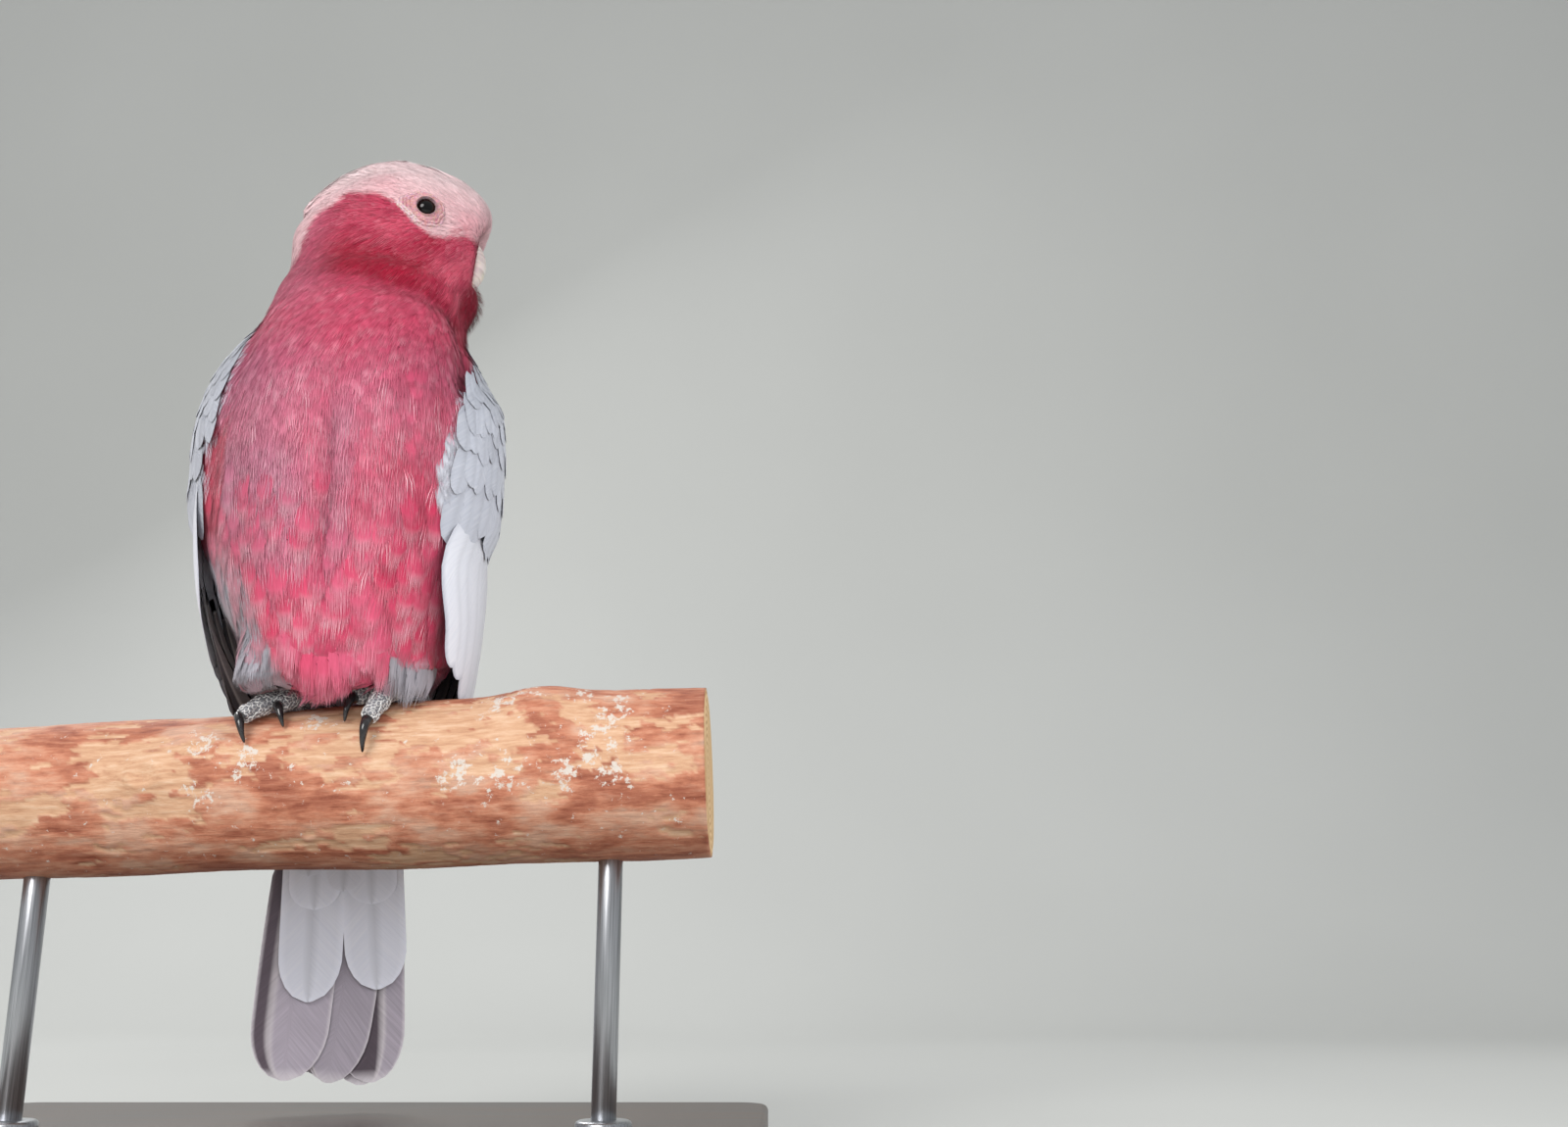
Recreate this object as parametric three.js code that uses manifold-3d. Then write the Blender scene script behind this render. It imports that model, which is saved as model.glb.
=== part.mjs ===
// A galah, life size and still, gripping a short cut length of branch on a plain display stand.
// Millimetres, +Z up. The origin is the centre of the base's underside. The bird faces -Y, a little
// towards +X, and looks over its left shoulder along +X. Its own frame has z = 0 at the perch's top.
import * as THREE from "three";
import { mergeVertices } from "three/addons/utils/BufferGeometryUtils.js";
import Module from "manifold-3d";

const wasm = await Module();
wasm.setup();

// ---- Driving dimensions -------------------------------------------------------------------------
const GAP = 0.3; // air left between neighbouring pieces
const BASE = { length: 290, depth: 196, thickness: 14, corner: 12, bevel: 2 };
const ROD = { radius: 4, spacing: 188, socket: 14, collarRadius: 9, collarHeight: 4 };
const PERCH = { length: 252, radius: 27.2, y: -14, tiltDeg: 2.4, taper: 0.03 };
const TAIL_CLEARANCE = 8; // the tail's tip above the base
const TAIL_DROP = 127.5; // the tail's tip below the perch's top
const PERCH_TOP = BASE.thickness + TAIL_CLEARANCE + TAIL_DROP;
const PERCH_AXIS = PERCH_TOP - PERCH.radius;
const BIRD = { x: -2, yawDeg: 12 };
const HEAD = { x: 9.6, y: -5, z: 169, turnDeg: 94, nodDeg: 0 };

const rad = THREE.MathUtils.degToRad;
const lerp = THREE.MathUtils.lerp;
const smooth = THREE.MathUtils.smoothstep;
const bell = (d) => Math.exp(-d * d);

// ---- Finishes -----------------------------------------------------------------------------------
const finish = (color, roughness, metalness = 0) =>
  new THREE.MeshStandardMaterial({ color, roughness, metalness });
const ROSE = finish(0xc8587a, 0.8);
const CROWN = finish(0xe9cfd0, 0.8);
const PALE_GREY = finish(0xb9bac6, 0.75);
const DARK_GREY = finish(0x5a5458, 0.7);
const HORN = finish(0xd9dcd4, 0.4);
const EYE = finish(0x120c0b, 0.05);
const LID = finish(0xc39a98, 0.7);
const SCALE = finish(0x8d8c92, 0.7);
const CLAW = finish(0x2e2b2d, 0.35);
const BARK = finish(0xa8683f, 0.85);
const WOOD = finish(0x4a3325, 0.5);
const STEEL = finish(0xb4b6b8, 0.3, 1);

// ---- Closed meshes, and joins and cuts between them ------------------------------------------------
// Rings of points, all with the same count, become one closed surface. A round ring is closed by a fan,
// and a flat one, which runs along one face and back along the other, by a strip between the two.
function loft(rings, flat = false) {
  const sides = rings[0].length;
  const points = rings.flat();
  const last = (rings.length - 1) * sides;
  const faces = [];
  for (let i = 0; i < rings.length - 1; i++)
    for (let j = 0; j < sides; j++) {
      const a = i * sides + j;
      const b = i * sides + ((j + 1) % sides);
      // The two faces of a flat ring are split along the same diagonals, so they never cross.
      if (flat && j >= sides / 2) faces.push(a, b, a + sides, b, b + sides, a + sides);
      else faces.push(a, b, b + sides, a, b + sides, a + sides);
    }
  if (flat)
    for (let j = 0; j < sides / 2 - 1; j++) {
      const [a, b, c, d] = [j, j + 1, sides - 2 - j, sides - 1 - j];
      faces.push(a, c, b, a, d, c);
      faces.push(last + a, last + b, last + c, last + a, last + c, last + d);
    }
  else {
    const middle = (ring) => ring.reduce((sum, p) => sum.add(p), new THREE.Vector3()).divideScalar(sides);
    const start = points.length;
    points.push(middle(rings[0]), middle(rings.at(-1)));
    for (let j = 0; j < sides; j++) {
      const next = (j + 1) % sides;
      faces.push(start, next, j, start + 1, last + j, last + next);
    }
  }
  return new THREE.BufferGeometry().setFromPoints(points).setIndex(faces);
}

// A geometry as a solid, turned face out whichever way its rings ran.
function solid(geometry, matrix = new THREE.Matrix4()) {
  const bare = new THREE.BufferGeometry().setIndex(geometry.index ?? null);
  bare.setAttribute("position", geometry.getAttribute("position").clone());
  const merged = mergeVertices(bare.applyMatrix4(matrix), 1e-3);
  const vertProperties = merged.attributes.position.array;
  const triVerts = new Uint32Array(merged.index.array);
  const made = new wasm.Manifold(new wasm.Mesh({ numProp: 3, vertProperties, triVerts }));
  if (made.volume() > 0) return made;
  return new wasm.Manifold(new wasm.Mesh({ numProp: 3, vertProperties, triVerts: triVerts.reverse() }));
}

const join = (solids) => solids.reduce((whole, next) => whole.add(next));
const cut = (whole, ...tools) => tools.reduce((left, tool) => left.subtract(tool), whole);
const largest = (whole) => whole.decompose().sort((a, b) => b.volume() - a.volume())[0];

function geometryOf(body) {
  const { numProp, vertProperties, triVerts } = body.getMesh();
  const positions = new Float32Array((vertProperties.length / numProp) * 3);
  for (let i = 0; i < positions.length; i++)
    positions[i] = vertProperties[Math.floor(i / 3) * numProp + (i % 3)];
  const geometry = new THREE.BufferGeometry();
  geometry.setAttribute("position", new THREE.BufferAttribute(positions, 3));
  geometry.setIndex(new THREE.BufferAttribute(new Uint32Array(triVerts), 1));
  geometry.computeVertexNormals();
  return geometry;
}

const bird = new THREE.Group();
const head = new THREE.Group();
const branch = new THREE.Group();
const stand = new THREE.Group();

// A cut can leave slivers: only the largest body is kept, before and after its close points merge.
const settled = (body) => largest(solid(geometryOf(largest(body))));

function place(group, name, body, material) {
  const mesh = new THREE.Mesh(body.isBufferGeometry ? body : geometryOf(settled(body)), material);
  mesh.name = name;
  group.add(mesh);
  return mesh;
}

// ---- Rounded bodies from sections ------------------------------------------------------------------
// Each section is an oval through two points of the middle plane, `a` and `b`, with a half width and
// a shift sideways. The surface takes t (0 to 1 along the sections) and an angle (0 at a, 90 degrees on
// the left side, 180 at b), and gives the point `out` millimetres off the skin.
function ovals(sections, fullness = 2) {
  const a = new THREE.CatmullRomCurve3(sections.map((s) => new THREE.Vector3(s.half, ...s.a)));
  const b = new THREE.CatmullRomCurve3(sections.map((s) => new THREE.Vector3(s.shift ?? 0, ...s.b)));
  const round = (value) => Math.sign(value) * Math.abs(value) ** (2 / fullness);
  return (t, angle, out = 0) => {
    const from = a.getPoint(t);
    const to = b.getPoint(t);
    const half = from.x + out;
    const shift = to.x;
    from.x = 0;
    to.x = 0;
    const centre = from.clone().add(to).multiplyScalar(0.5);
    const reach = from.distanceTo(to) / 2;
    const along = from.sub(centre).normalize();
    const point = centre.addScaledVector(along, (reach + out) * round(Math.cos(angle)));
    point.x = shift + half * round(Math.sin(angle));
    return point;
  };
}

function oval(surface, { rings, sides, out = 0, end = 1, shape = (p) => p }) {
  const made = [];
  for (let i = 0; i <= rings; i++)
    made.push(Array.from({ length: sides }, (_, j) => {
      const angle = (2 * Math.PI * j) / sides;
      return shape(surface((end * i) / rings, angle, out));
    }));
  return loft(made);
}

// ---- Trunk: from inside the head down to the root of the tail ---------------------------------------
// `wing` is the half width that the folded wings keep where the body itself narrows.
const TRUNK_SECTIONS = [
  { name: "nape", a: [-17, 163], b: [17, 166], half: 20, shift: 8 },
  { name: "throat", a: [-32, 152], b: [29, 156], half: 32, shift: 6.5 },
  { name: "neck", a: [-42, 136], b: [38, 140], half: 34, shift: 3.5 },
  { name: "shoulders", a: [-49, 114], b: [42, 120], half: 40.2, shift: 2.2 },
  { name: "breast", a: [-52, 88], b: [46, 94], half: 44.8, shift: 1 },
  { name: "upper_belly", a: [-50, 60], b: [48, 66], half: 45, shift: 0.5 },
  { name: "belly", a: [-45, 34], b: [49, 40], half: 41.5, wing: 43.6, shift: 1.8 },
  { name: "thighs", a: [-38, 11], b: [49, 20], half: 36, wing: 40.2, shift: 3.5 },
  { name: "vent", a: [-22, -1], b: [49, 2], half: 28, wing: 37.3, shift: 4 },
  { name: "tail_root", a: [8, 1], b: [51, -12], half: 23, wing: 34, shift: 3.5 },
  { name: "rump", a: [30, -12], b: [55, -26], half: 21, wing: 29, shift: 3.5 },
  { name: "coverts", a: [41, -34], b: [59, -42], half: 18, wing: 25, shift: 4 },
  { name: "coverts_end", a: [51, -54], b: [61, -58], half: 14, wing: 21, shift: 5 },
];
const trunkSurface = ovals(TRUNK_SECTIONS, 2.15);
const wingSurface = ovals(TRUNK_SECTIONS.map((s) => ({ ...s, half: s.wing ?? s.half })), 2.15);
const station = (name) => TRUNK_SECTIONS.findIndex((s) => s.name === name) / (TRUNK_SECTIONS.length - 1);

// A shallow parting runs down the middle of the breast and belly.
const PARTING = { depth: 2.6, halfWidth: 5, top: 118, bottom: 6 };
function parted(point) {
  const { bottom, top } = PARTING;
  const run = smooth(point.z, bottom, bottom + 25) * (1 - smooth(point.z, top - 40, top));
  if (point.y < 0) point.y += PARTING.depth * run * bell(point.x / PARTING.halfWidth);
  return point;
}

const TRUNK_END = 0.87;
const TRUNK_CLEARANCE = { rings: 11, sides: 12, out: GAP + 0.8, end: TRUNK_END + 0.01 };
const trunkWhole = solid(oval(trunkSurface, { rings: 15, sides: 20, end: TRUNK_END, shape: parted }));
const trunkGrown = solid(oval(trunkSurface, TRUNK_CLEARANCE));

// ---- Head, in its own frame: origin at the middle of the skull, bill towards -Y -----------------------
const HEAD_SECTIONS = [
  { name: "cere", a: [-36.1, 11.3], b: [-31.5, -9], half: 7 },
  { name: "lores", a: [-34.7, 17.4], b: [-31.5, -20], half: 14 },
  { name: "forehead", a: [-29.6, 23.2], b: [-29, -28], half: 19 },
  { name: "eyes", a: [-19.4, 28.8], b: [-20.5, -33], half: 22.5 },
  { name: "cheeks", a: [-6.5, 29.8], b: [-8, -33], half: 25 },
  { name: "ears", a: [6.5, 25.8], b: [4, -30], half: 25 },
  { name: "hindcrown", a: [18, 18.5], b: [15.5, -28], half: 22.5 },
  { name: "nape", a: [27.5, 9], b: [26, -26], half: 18 },
  { name: "back", a: [33.6, -1], b: [33.4, -17], half: 11 },
];
const headSurface = ovals(HEAD_SECTIONS, 2.25);
const CHEEK = { y: -14, z: -14, reachY: 14, reachZ: 12, bulge: 2.2 };
function cheeked(point) {
  const near = bell((point.y - CHEEK.y) / CHEEK.reachY) * bell((point.z - CHEEK.z) / CHEEK.reachZ);
  point.x += Math.sign(point.x) * CHEEK.bulge * near;
  return point;
}
const headWhole = (out = 0) => oval(headSurface, { rings: 9, sides: 14, out, shape: cheeked });

head.position.set(HEAD.x, HEAD.y, HEAD.z);
head.rotation.set(0, 0, rad(HEAD.turnDeg));
head.rotateX(rad(HEAD.nodDeg));
head.updateMatrix();
const headInBird = solid(headWhole(GAP), head.matrix);

// Eyes: half-sunk balls with a bare ring of skin round each.
const EYEBALL = { radius: 5, x: 20.9, y: -10.6, z: 4.2, ringRadius: 6.5, ringThickness: 1.1 };
const eyeBall = (side, out = 0) =>
  new THREE.SphereGeometry(EYEBALL.radius + out, 10, 6).translate(side * EYEBALL.x, EYEBALL.y, EYEBALL.z);
function eyeRing(side, out = 0) {
  const ring = new THREE.TorusGeometry(EYEBALL.ringRadius, EYEBALL.ringThickness + out, 3, 11);
  ring.rotateY(side * rad(90)).rotateZ(side * rad(-14));
  return ring.translate(side * (EYEBALL.x + 2.2), EYEBALL.y - 0.6, EYEBALL.z);
}

// Bill: each half is a horn curving down from the face, with an oval section that narrows to its tip.
const UPPER_BILL = { centre: [-22.6, -5.2], sweep: 12.2, from: 62, to: -72, root: [9, 6], tip: 0.7 };
const LOWER_BILL = { centre: [-19, -7], sweep: 12, from: -112, to: -42, root: [7, 3.4], tip: 1.6 };
function horn({ centre: [cy, cz], sweep, from, to, root: [width, depth], tip }, out = 0) {
  const steps = 6;
  const rings = [];
  for (let i = 0; i <= steps; i++) {
    const share = i / steps;
    const angle = rad(lerp(from, to, share));
    const narrow = (1 - share ** 1.6) ** 0.8;
    const half = lerp(tip, width, narrow) + out;
    const deep = lerp(tip, depth, narrow) + out;
    const outward = new THREE.Vector3(0, -Math.cos(angle), Math.sin(angle));
    const middle = new THREE.Vector3(0, cy, cz).addScaledVector(outward, sweep - deep + out);
    rings.push(Array.from({ length: 8 }, (_, j) => {
      const turn = (2 * Math.PI * j) / 8;
      const point = middle.clone().addScaledVector(outward, deep * Math.cos(turn));
      point.x = half * Math.sin(turn);
      return point;
    }));
  }
  return loft(rings);
}

// The folded crest lies along the crown, its tip a little free of the nape.
const CREST_SECTIONS = [
  { a: [-21, 26.6], b: [-20, 22], half: 4 },
  { a: [-8, 31.4], b: [-7, 24], half: 11 },
  { a: [7, 28.2], b: [7, 21], half: 14 },
  { a: [20, 20.6], b: [18.5, 14], half: 12.5 },
  { a: [27.5, 13.6], b: [26, 7.5], half: 8 },
  { a: [31.8, 9.2], b: [30.6, 6.2], half: 2.2 },
];
const crest = oval(ovals(CREST_SECTIONS), { rings: 7, sides: 8 });

const headGrown = solid(headWhole(GAP));
const bothSides = [1, -1];
const headCut = cut(
  solid(headWhole()),
  ...bothSides.flatMap((side) => [solid(eyeBall(side, GAP)), solid(eyeRing(side, GAP))]),
  solid(horn(UPPER_BILL, GAP)),
  solid(horn(LOWER_BILL, GAP)),
);
// A slab of space below a sloping plane, to part one piece from the next.
const SLAB = 400;
function slabBelow(y, z, slope) {
  const slab = new THREE.BoxGeometry(SLAB, SLAB, SLAB).translate(0, 0, -SLAB / 2);
  return solid(slab.rotateX(rad(slope)).translate(0, y, z));
}
const CHEEK_LINE = { y: -13, z: -4.5, slope: 16 };
const { y: cheekY, z: cheekZ, slope: cheekSlope } = CHEEK_LINE;
place(head, "crown", cut(headCut, slabBelow(cheekY, cheekZ + GAP / 2, cheekSlope)), CROWN);
place(head, "cheeks", headCut.intersect(slabBelow(cheekY, cheekZ - GAP / 2, cheekSlope)), ROSE);
place(head, "crest", cut(solid(crest), headGrown), CROWN);
for (const [side, name] of [[1, "left"], [-1, "right"]]) {
  place(head, `eye_${name}`, eyeBall(side), EYE);
  place(head, `eye_ring_${name}`, eyeRing(side), LID);
}
place(head, "bill_upper", solid(horn(UPPER_BILL)), HORN);
place(head, "bill_lower", cut(solid(horn(LOWER_BILL)), solid(horn(UPPER_BILL, GAP))), HORN);

// ---- Plates that lie on a surface: flight feathers and the shells of coverts --------------------------
// A vane runs over `surface` from one (t, angle) to another, `width` across, on a layer `out` above it.
function vane(surface, { from, to, width, out, thick = 0.9, point = 0.28 }, grow = 0) {
  const columns = [-1, 0, 1];
  const rings = [];
  for (const v of [0, 0.25, 1 - point, 1 - 0.3 * point, 1]) {
    const t = lerp(from[0], to[0], v);
    const angle = lerp(from[1], to[1], v);
    const taken = Math.max(0, (v - 1 + point) / point);
    const tip = Math.sqrt(1 - 0.88 * taken ** 2);
    const half = (width / 2) * Math.min(1, 0.5 + v * 2) * tip + grow;
    const step = surface(t, angle + 1e-3, out).distanceTo(surface(t, angle, out)) / 1e-3;
    const at = (u, lift) => surface(t, angle + (u * half) / step, lift);
    rings.push([
      ...columns.map((u) => at(u, out + thick * (1 - 0.35 * u * u) + grow)),
      ...columns.toReversed().map((u) => at(u, out - grow)),
    ]);
  }
  return solid(loft(rings, true));
}

// ---- Wings: coverts over secondaries over primaries, folded against the trunk --------------------------
// Angles go from the breast round to the back. `lead` holds the front edge at even shares of the coverts'
// height: the left wing hides more of the breast below its wrist, the right one is tucked behind.
const WINGS = {
  left: {
    side: 1,
    lead: [88, 82, 52, 44, 43],
    secondaryLead: [61, 46, 57, 60, 60],
    primaryLead: [68, 79, 117, 118, 118, 118],
  },
  right: {
    side: -1,
    lead: [82, 68, 66, 70, 76],
    secondaryLead: [87, 74, 96, 102, 102],
    primaryLead: [72, 83, 121, 122, 122, 122],
  },
};
const WING_LAYERS = { primaries: 1.3, secondaries: 3.9, coverts: 6.4, edge: 1.35, full: 8.9 };
function along(values, share) {
  const place = Math.min(share * (values.length - 1), values.length - 1 - 1e-6);
  const i = Math.floor(place);
  return lerp(values[i], values[i + 1], smooth(place - i, 0, 1));
}

// A plate over the wing surface: `at` gives each corner's t and angle, `low` and `high` its two faces.
function plate({ side, rows, columns, at, low, high }) {
  const made = [];
  for (let i = 0; i <= rows; i++) {
    const share = i / rows;
    const outer = [];
    const inner = [];
    for (let j = 0; j <= columns; j++) {
      const across = j / columns;
      const [t, angle] = at(share, across);
      outer.push(wingSurface(t, side * rad(angle), high(share, across)));
      inner.unshift(wingSurface(t, side * rad(angle), low(share, across)));
    }
    made.push([...outer, ...inner]);
  }
  return solid(loft(made, true));
}

const COVERTS_SPAN = [station("neck") + 0.005, station("belly") - 0.05];
function wingCoverts({ side, lead }) {
  const low = (share, across) => {
    const wrap = lerp(smooth(across, 0, 0.08), 1, smooth(share, 0.5, 0.6));
    return lerp(WING_LAYERS.edge, WING_LAYERS.coverts, smooth(share, 0.3, 0.42) * wrap);
  };
  const high = (share, across) => {
    const rounding = Math.min(1, 0.1 + 4 * across) ** 0.6 * (1 - 0.9 * across ** 3);
    const full = WING_LAYERS.full * smooth(share, -0.06, 0.4) * rounding;
    return Math.max(full, low(share, across) + 0.8 * Math.min(1, 0.5 + share * 4));
  };
  const at = (share, across) => [
    lerp(...COVERTS_SPAN, share),
    lerp(along(lead, share), 179.3, across ** 1.15),
  ];
  return plate({ side, rows: 7, columns: 9, at, low, high });
}

// A layer of flight feathers: each tip is rounded, with a notch between it and the next.
function flightFeathers({ side }, { count, from, lead, back, tips, notch, out, thick, rows }) {
  const columns = count * 2;
  const ridge = (across) => Math.abs(Math.sin(across * count * Math.PI));
  const at = (share, across) => {
    const tip = along(tips, across) - notch * (1 - ridge(across));
    const t = lerp(from, tip, share);
    const down = (t - from) / (Math.max(...tips) - from);
    return [t, lerp(along(lead, down), along(back, down), across ** 1.2)];
  };
  const low = () => out;
  const high = (share, across) => out + thick * (0.75 + 0.25 * ridge(across));
  return plate({ side, rows, columns, at, low, high });
}
const SECONDARIES = { count: 5, from: 0.4, notch: 0.016, thick: 1.8, rows: 5 };
SECONDARIES.tips = [0.575, 0.66, 0.69, 0.7, 0.7];
const PRIMARIES = { count: 4, from: 0.5, notch: 0.022, thick: 1.3, rows: 6 };
PRIMARIES.tips = [0.7, 0.84, 0.92, 0.96, 0.985];
const secondaries = (wing) => flightFeathers(wing, {
  ...SECONDARIES,
  lead: wing.secondaryLead,
  back: [171, 172, 170],
  out: WING_LAYERS.secondaries,
});
const primaries = (wing) => flightFeathers(wing, {
  ...PRIMARIES,
  lead: wing.primaryLead,
  back: [150, 152, 154, 156],
  out: WING_LAYERS.primaries,
});

for (const [name, wing] of Object.entries(WINGS)) {
  place(bird, `wing_${name}_coverts`, wingCoverts(wing), PALE_GREY);
  place(bird, `wing_${name}_secondaries`, secondaries(wing), PALE_GREY);
  place(bird, `wing_${name}_primaries`, primaries(wing), DARK_GREY);
}

// ---- Tail: a shallow fan of broad feathers, with coverts above and below its root -------------------
const TAIL = { x: 3.5, root: [49, -20], tip: [77, -TAIL_DROP], arch: 110, swingDeg: 2.5, fanShift: -3.6 };
const tailLength = Math.hypot(TAIL.tip[0] - TAIL.root[0], TAIL.tip[1] - TAIL.root[1]);
const tailDown = new THREE.Vector3(0, TAIL.tip[0] - TAIL.root[0], TAIL.tip[1] - TAIL.root[1]).normalize();
const tailOut = new THREE.Vector3(0, -tailDown.z, tailDown.y);
function tailSurface(t, across, out = 0) {
  const swing = TAIL.x + t * tailLength * Math.tan(rad(TAIL.swingDeg));
  const point = new THREE.Vector3(across + swing, ...TAIL.root).addScaledVector(tailDown, t * tailLength);
  return point.addScaledVector(tailOut, out - (across * across) / (2 * TAIL.arch));
}
const TAIL_FEATHERS = { perSide: 4, width: 23, rootSpread: 8, tipSpread: 18, thick: 0.8, layer: 0.95 };
const tailVanes = (grow = 0) =>
  join([1, -1].flatMap((side) => Array.from({ length: TAIL_FEATHERS.perSide }, (_, i) => {
    const share = i / (TAIL_FEATHERS.perSide - 1);
    return vane(tailSurface, {
      from: [0.06, side * lerp(3, TAIL_FEATHERS.rootSpread, share)],
      to: [lerp(1, 0.97, share), side * lerp(4.5, TAIL_FEATHERS.tipSpread, share) + TAIL.fanShift],
      width: TAIL_FEATHERS.width,
      out: -TAIL_FEATHERS.layer * (i + (side > 0 ? 0.45 : 0)),
      thick: TAIL_FEATHERS.thick,
      point: 0.16,
    }, grow);
  })));

// Four long feathers under the tail and four shorter ones over it.
const tailCoverts = ({ reach, out, width, lift }, grow = 0) =>
  join(reach.flatMap((t, i) => [1, -1].map((side) =>
    vane(tailSurface, {
      from: [0.08, side * 9],
      to: [t - (side > 0 ? 0.04 : 0), side * lerp(12, 8, i / reach.length)],
      width,
      out: out + lift * i,
      thick: 1.3,
      point: 0.22,
    }, grow))));
const UNDER_COVERTS = { reach: [0.7, 0.4], out: -6.9, width: 22, lift: -1.0 };
const OVER_COVERTS = { reach: [0.46, 0.3], out: 1.2, width: 19, lift: 1.0 };

place(bird, "tail", cut(tailVanes(), trunkGrown), DARK_GREY);
place(bird, "tail_undercoverts", cut(tailCoverts(UNDER_COVERTS), trunkGrown), PALE_GREY);
place(bird, "tail_uppercoverts", cut(tailCoverts(OVER_COVERTS), trunkGrown), PALE_GREY);

// ---- Perch: a cut branch with slow bends, a taper and two knots -------------------------------------
const KNOTS = [
  { x: -52, angle: 82, height: 2.6, reachX: 9, reachAngle: 0.3 },
  { x: -34, angle: 66, height: 2.2, reachX: 15, reachAngle: 0.42 },
  { x: 72, angle: 24, height: 3.4, reachX: 14, reachAngle: 0.5 },
];
function perchRadius(x, angle) {
  const bends = 0.5 * Math.sin(x / 31) + 0.4 * Math.sin(3 * angle + x / 60);
  const slow = bends + 0.35 * Math.sin(x / 14 + 2 * angle);
  const knots = KNOTS.reduce((sum, k) => {
    const turn = Math.atan2(Math.sin(angle - rad(k.angle)), Math.cos(angle - rad(k.angle)));
    return sum + k.height * bell((x - k.x) / k.reachX) * bell(turn / k.reachAngle);
  }, 0);
  return PERCH.radius - 0.7 + PERCH.taper * x * 0.5 + slow + knots;
}
// In the perch's own frame angle 0 is the top and 90 degrees the front, towards -Y.
function onPerch(x, angle, out) {
  const r = perchRadius(x, angle) + out;
  return new THREE.Vector3(x, -r * Math.sin(angle), r * Math.cos(angle));
}
function perchLog(out = 0, steps = 13, sides = 14) {
  const rings = [];
  for (let i = 0; i <= steps; i++) {
    const x = lerp(-PERCH.length / 2 - out, PERCH.length / 2 + out, i / steps);
    rings.push(Array.from({ length: sides }, (_, j) => onPerch(x, (2 * Math.PI * j) / sides, out)));
  }
  return loft(rings);
}
branch.position.set(0, PERCH.y, PERCH_AXIS);
branch.rotation.y = rad(-PERCH.tiltDeg);
branch.updateMatrix();

// ---- Feet: two toes forward and two back, wrapped round the perch, each with a hooked claw -------------
// A tube through points, with a radius that follows `radiusAt` from root to tip.
function tube(points, radiusAt, steps, sides) {
  const path = new THREE.CatmullRomCurve3(points);
  const frames = path.computeFrenetFrames(steps, false);
  const rings = [];
  for (let i = 0; i <= steps; i++) {
    const middle = path.getPointAt(i / steps);
    rings.push(Array.from({ length: sides }, (_, j) => {
      const turn = (2 * Math.PI * j) / sides;
      const aside = frames.normals[i].clone().multiplyScalar(Math.cos(turn));
      aside.addScaledVector(frames.binormals[i], Math.sin(turn));
      return middle.clone().addScaledVector(aside, radiusAt(i / steps));
    }));
  }
  return loft(rings);
}
const TOE = { root: 3.7, tip: 3.1, pads: 0.3, lift: 0.5 };
const CLAW_SIZE = { root: 1.9, tip: 0.35 };
const ANKLE = { radius: 5.2, lift: 5.4, height: 24, back: 7, inward: 0.12 };
// Each toe runs in millimetres along the perch and degrees round it, from the ball of the foot.
const FEET = {
  right: {
    x: -8,
    toes: {
      inner_front: { end: [-5, 33], claw: [3.5, 17] },
      outer_front: { end: [-15.5, 45], claw: [3, 18] },
      outer_back: { end: [-11, -50], claw: [-1, -20] },
      inner_back: { end: [5, -34], claw: [1, -18] },
    },
  },
  left: {
    x: 25,
    toes: {
      inner_front: { end: [-13.5, 29], claw: [-1.5, 19] },
      outer_front: { end: [-6.5, 53], claw: [-1, 20] },
      outer_back: { end: [4, -46], claw: [1, -20] },
      inner_back: { end: [-6, -34], claw: [-1, -18] },
    },
  },
};
const toeRadius = (v) => lerp(TOE.root, TOE.tip, v) + TOE.pads * Math.cos(v * 6 * Math.PI);
function toeAt(x, { end: [dx, turn] }, v) {
  const rise = lerp(TOE.root, TOE.tip, v) + TOE.pads + TOE.lift + 0.4 * Math.sin(Math.PI * v);
  return onPerch(x + dx * v, rad(turn * v ** 0.85), rise);
}
const toePath = (x, toe) => [0.1, 0.4, 0.7, 1].map((v) => toeAt(x, toe, v));
function clawPath(x, { end: [dx, turn], claw: [cx, cturn] }) {
  const rise = TOE.tip + TOE.pads + TOE.lift;
  return [[0.25, rise + 0.1], [0.4, rise + 0.9], [0.75, 2.9], [1, 1.1]].map(([v, lift]) =>
    onPerch(x + dx + cx * v, rad(turn + cturn * v), lift));
}
const clawRadius = (v) => lerp(CLAW_SIZE.root, CLAW_SIZE.tip, v);

function buildFoot(name, { x, toes }) {
  const ball = (out) => {
    const at = onPerch(x, rad(2), ANKLE.lift);
    const shape = new THREE.SphereGeometry(ANKLE.radius + out, 8, 5).scale(1.15, 1.05, 0.85);
    return solid(shape.translate(at.x, at.y, at.z));
  };
  const shank = (out) => {
    const low = onPerch(x, rad(2), ANKLE.lift);
    const high = low.clone().add(new THREE.Vector3(-ANKLE.inward * x, ANKLE.back, ANKLE.height));
    const points = [low, low.clone().lerp(high, 0.5), high];
    return solid(tube(points, (v) => 4.2 + out - 0.6 * Math.sin(Math.PI * v), 2, 7));
  };
  const foot = (out) => ball(out).add(shank(out));
  const footGrown = foot(GAP);
  const done = [footGrown];
  for (const [toe, shape] of Object.entries(toes)) {
    const flesh = (out) => solid(tube(toePath(x, shape), (v) => toeRadius(v) + out, 4, 6));
    place(branch, `toe_${name}_${toe}`, cut(flesh(0), ...done), SCALE);
    place(branch, `claw_${name}_${toe}`, tube(clawPath(x, shape), clawRadius, 4, 5), CLAW);
    done.push(flesh(GAP));
  }
  place(branch, `foot_${name}`, foot(0), SCALE);
  return footGrown;
}
const footTools = Object.entries(FEET).map(([name, shape]) => buildFoot(name, shape));

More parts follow.
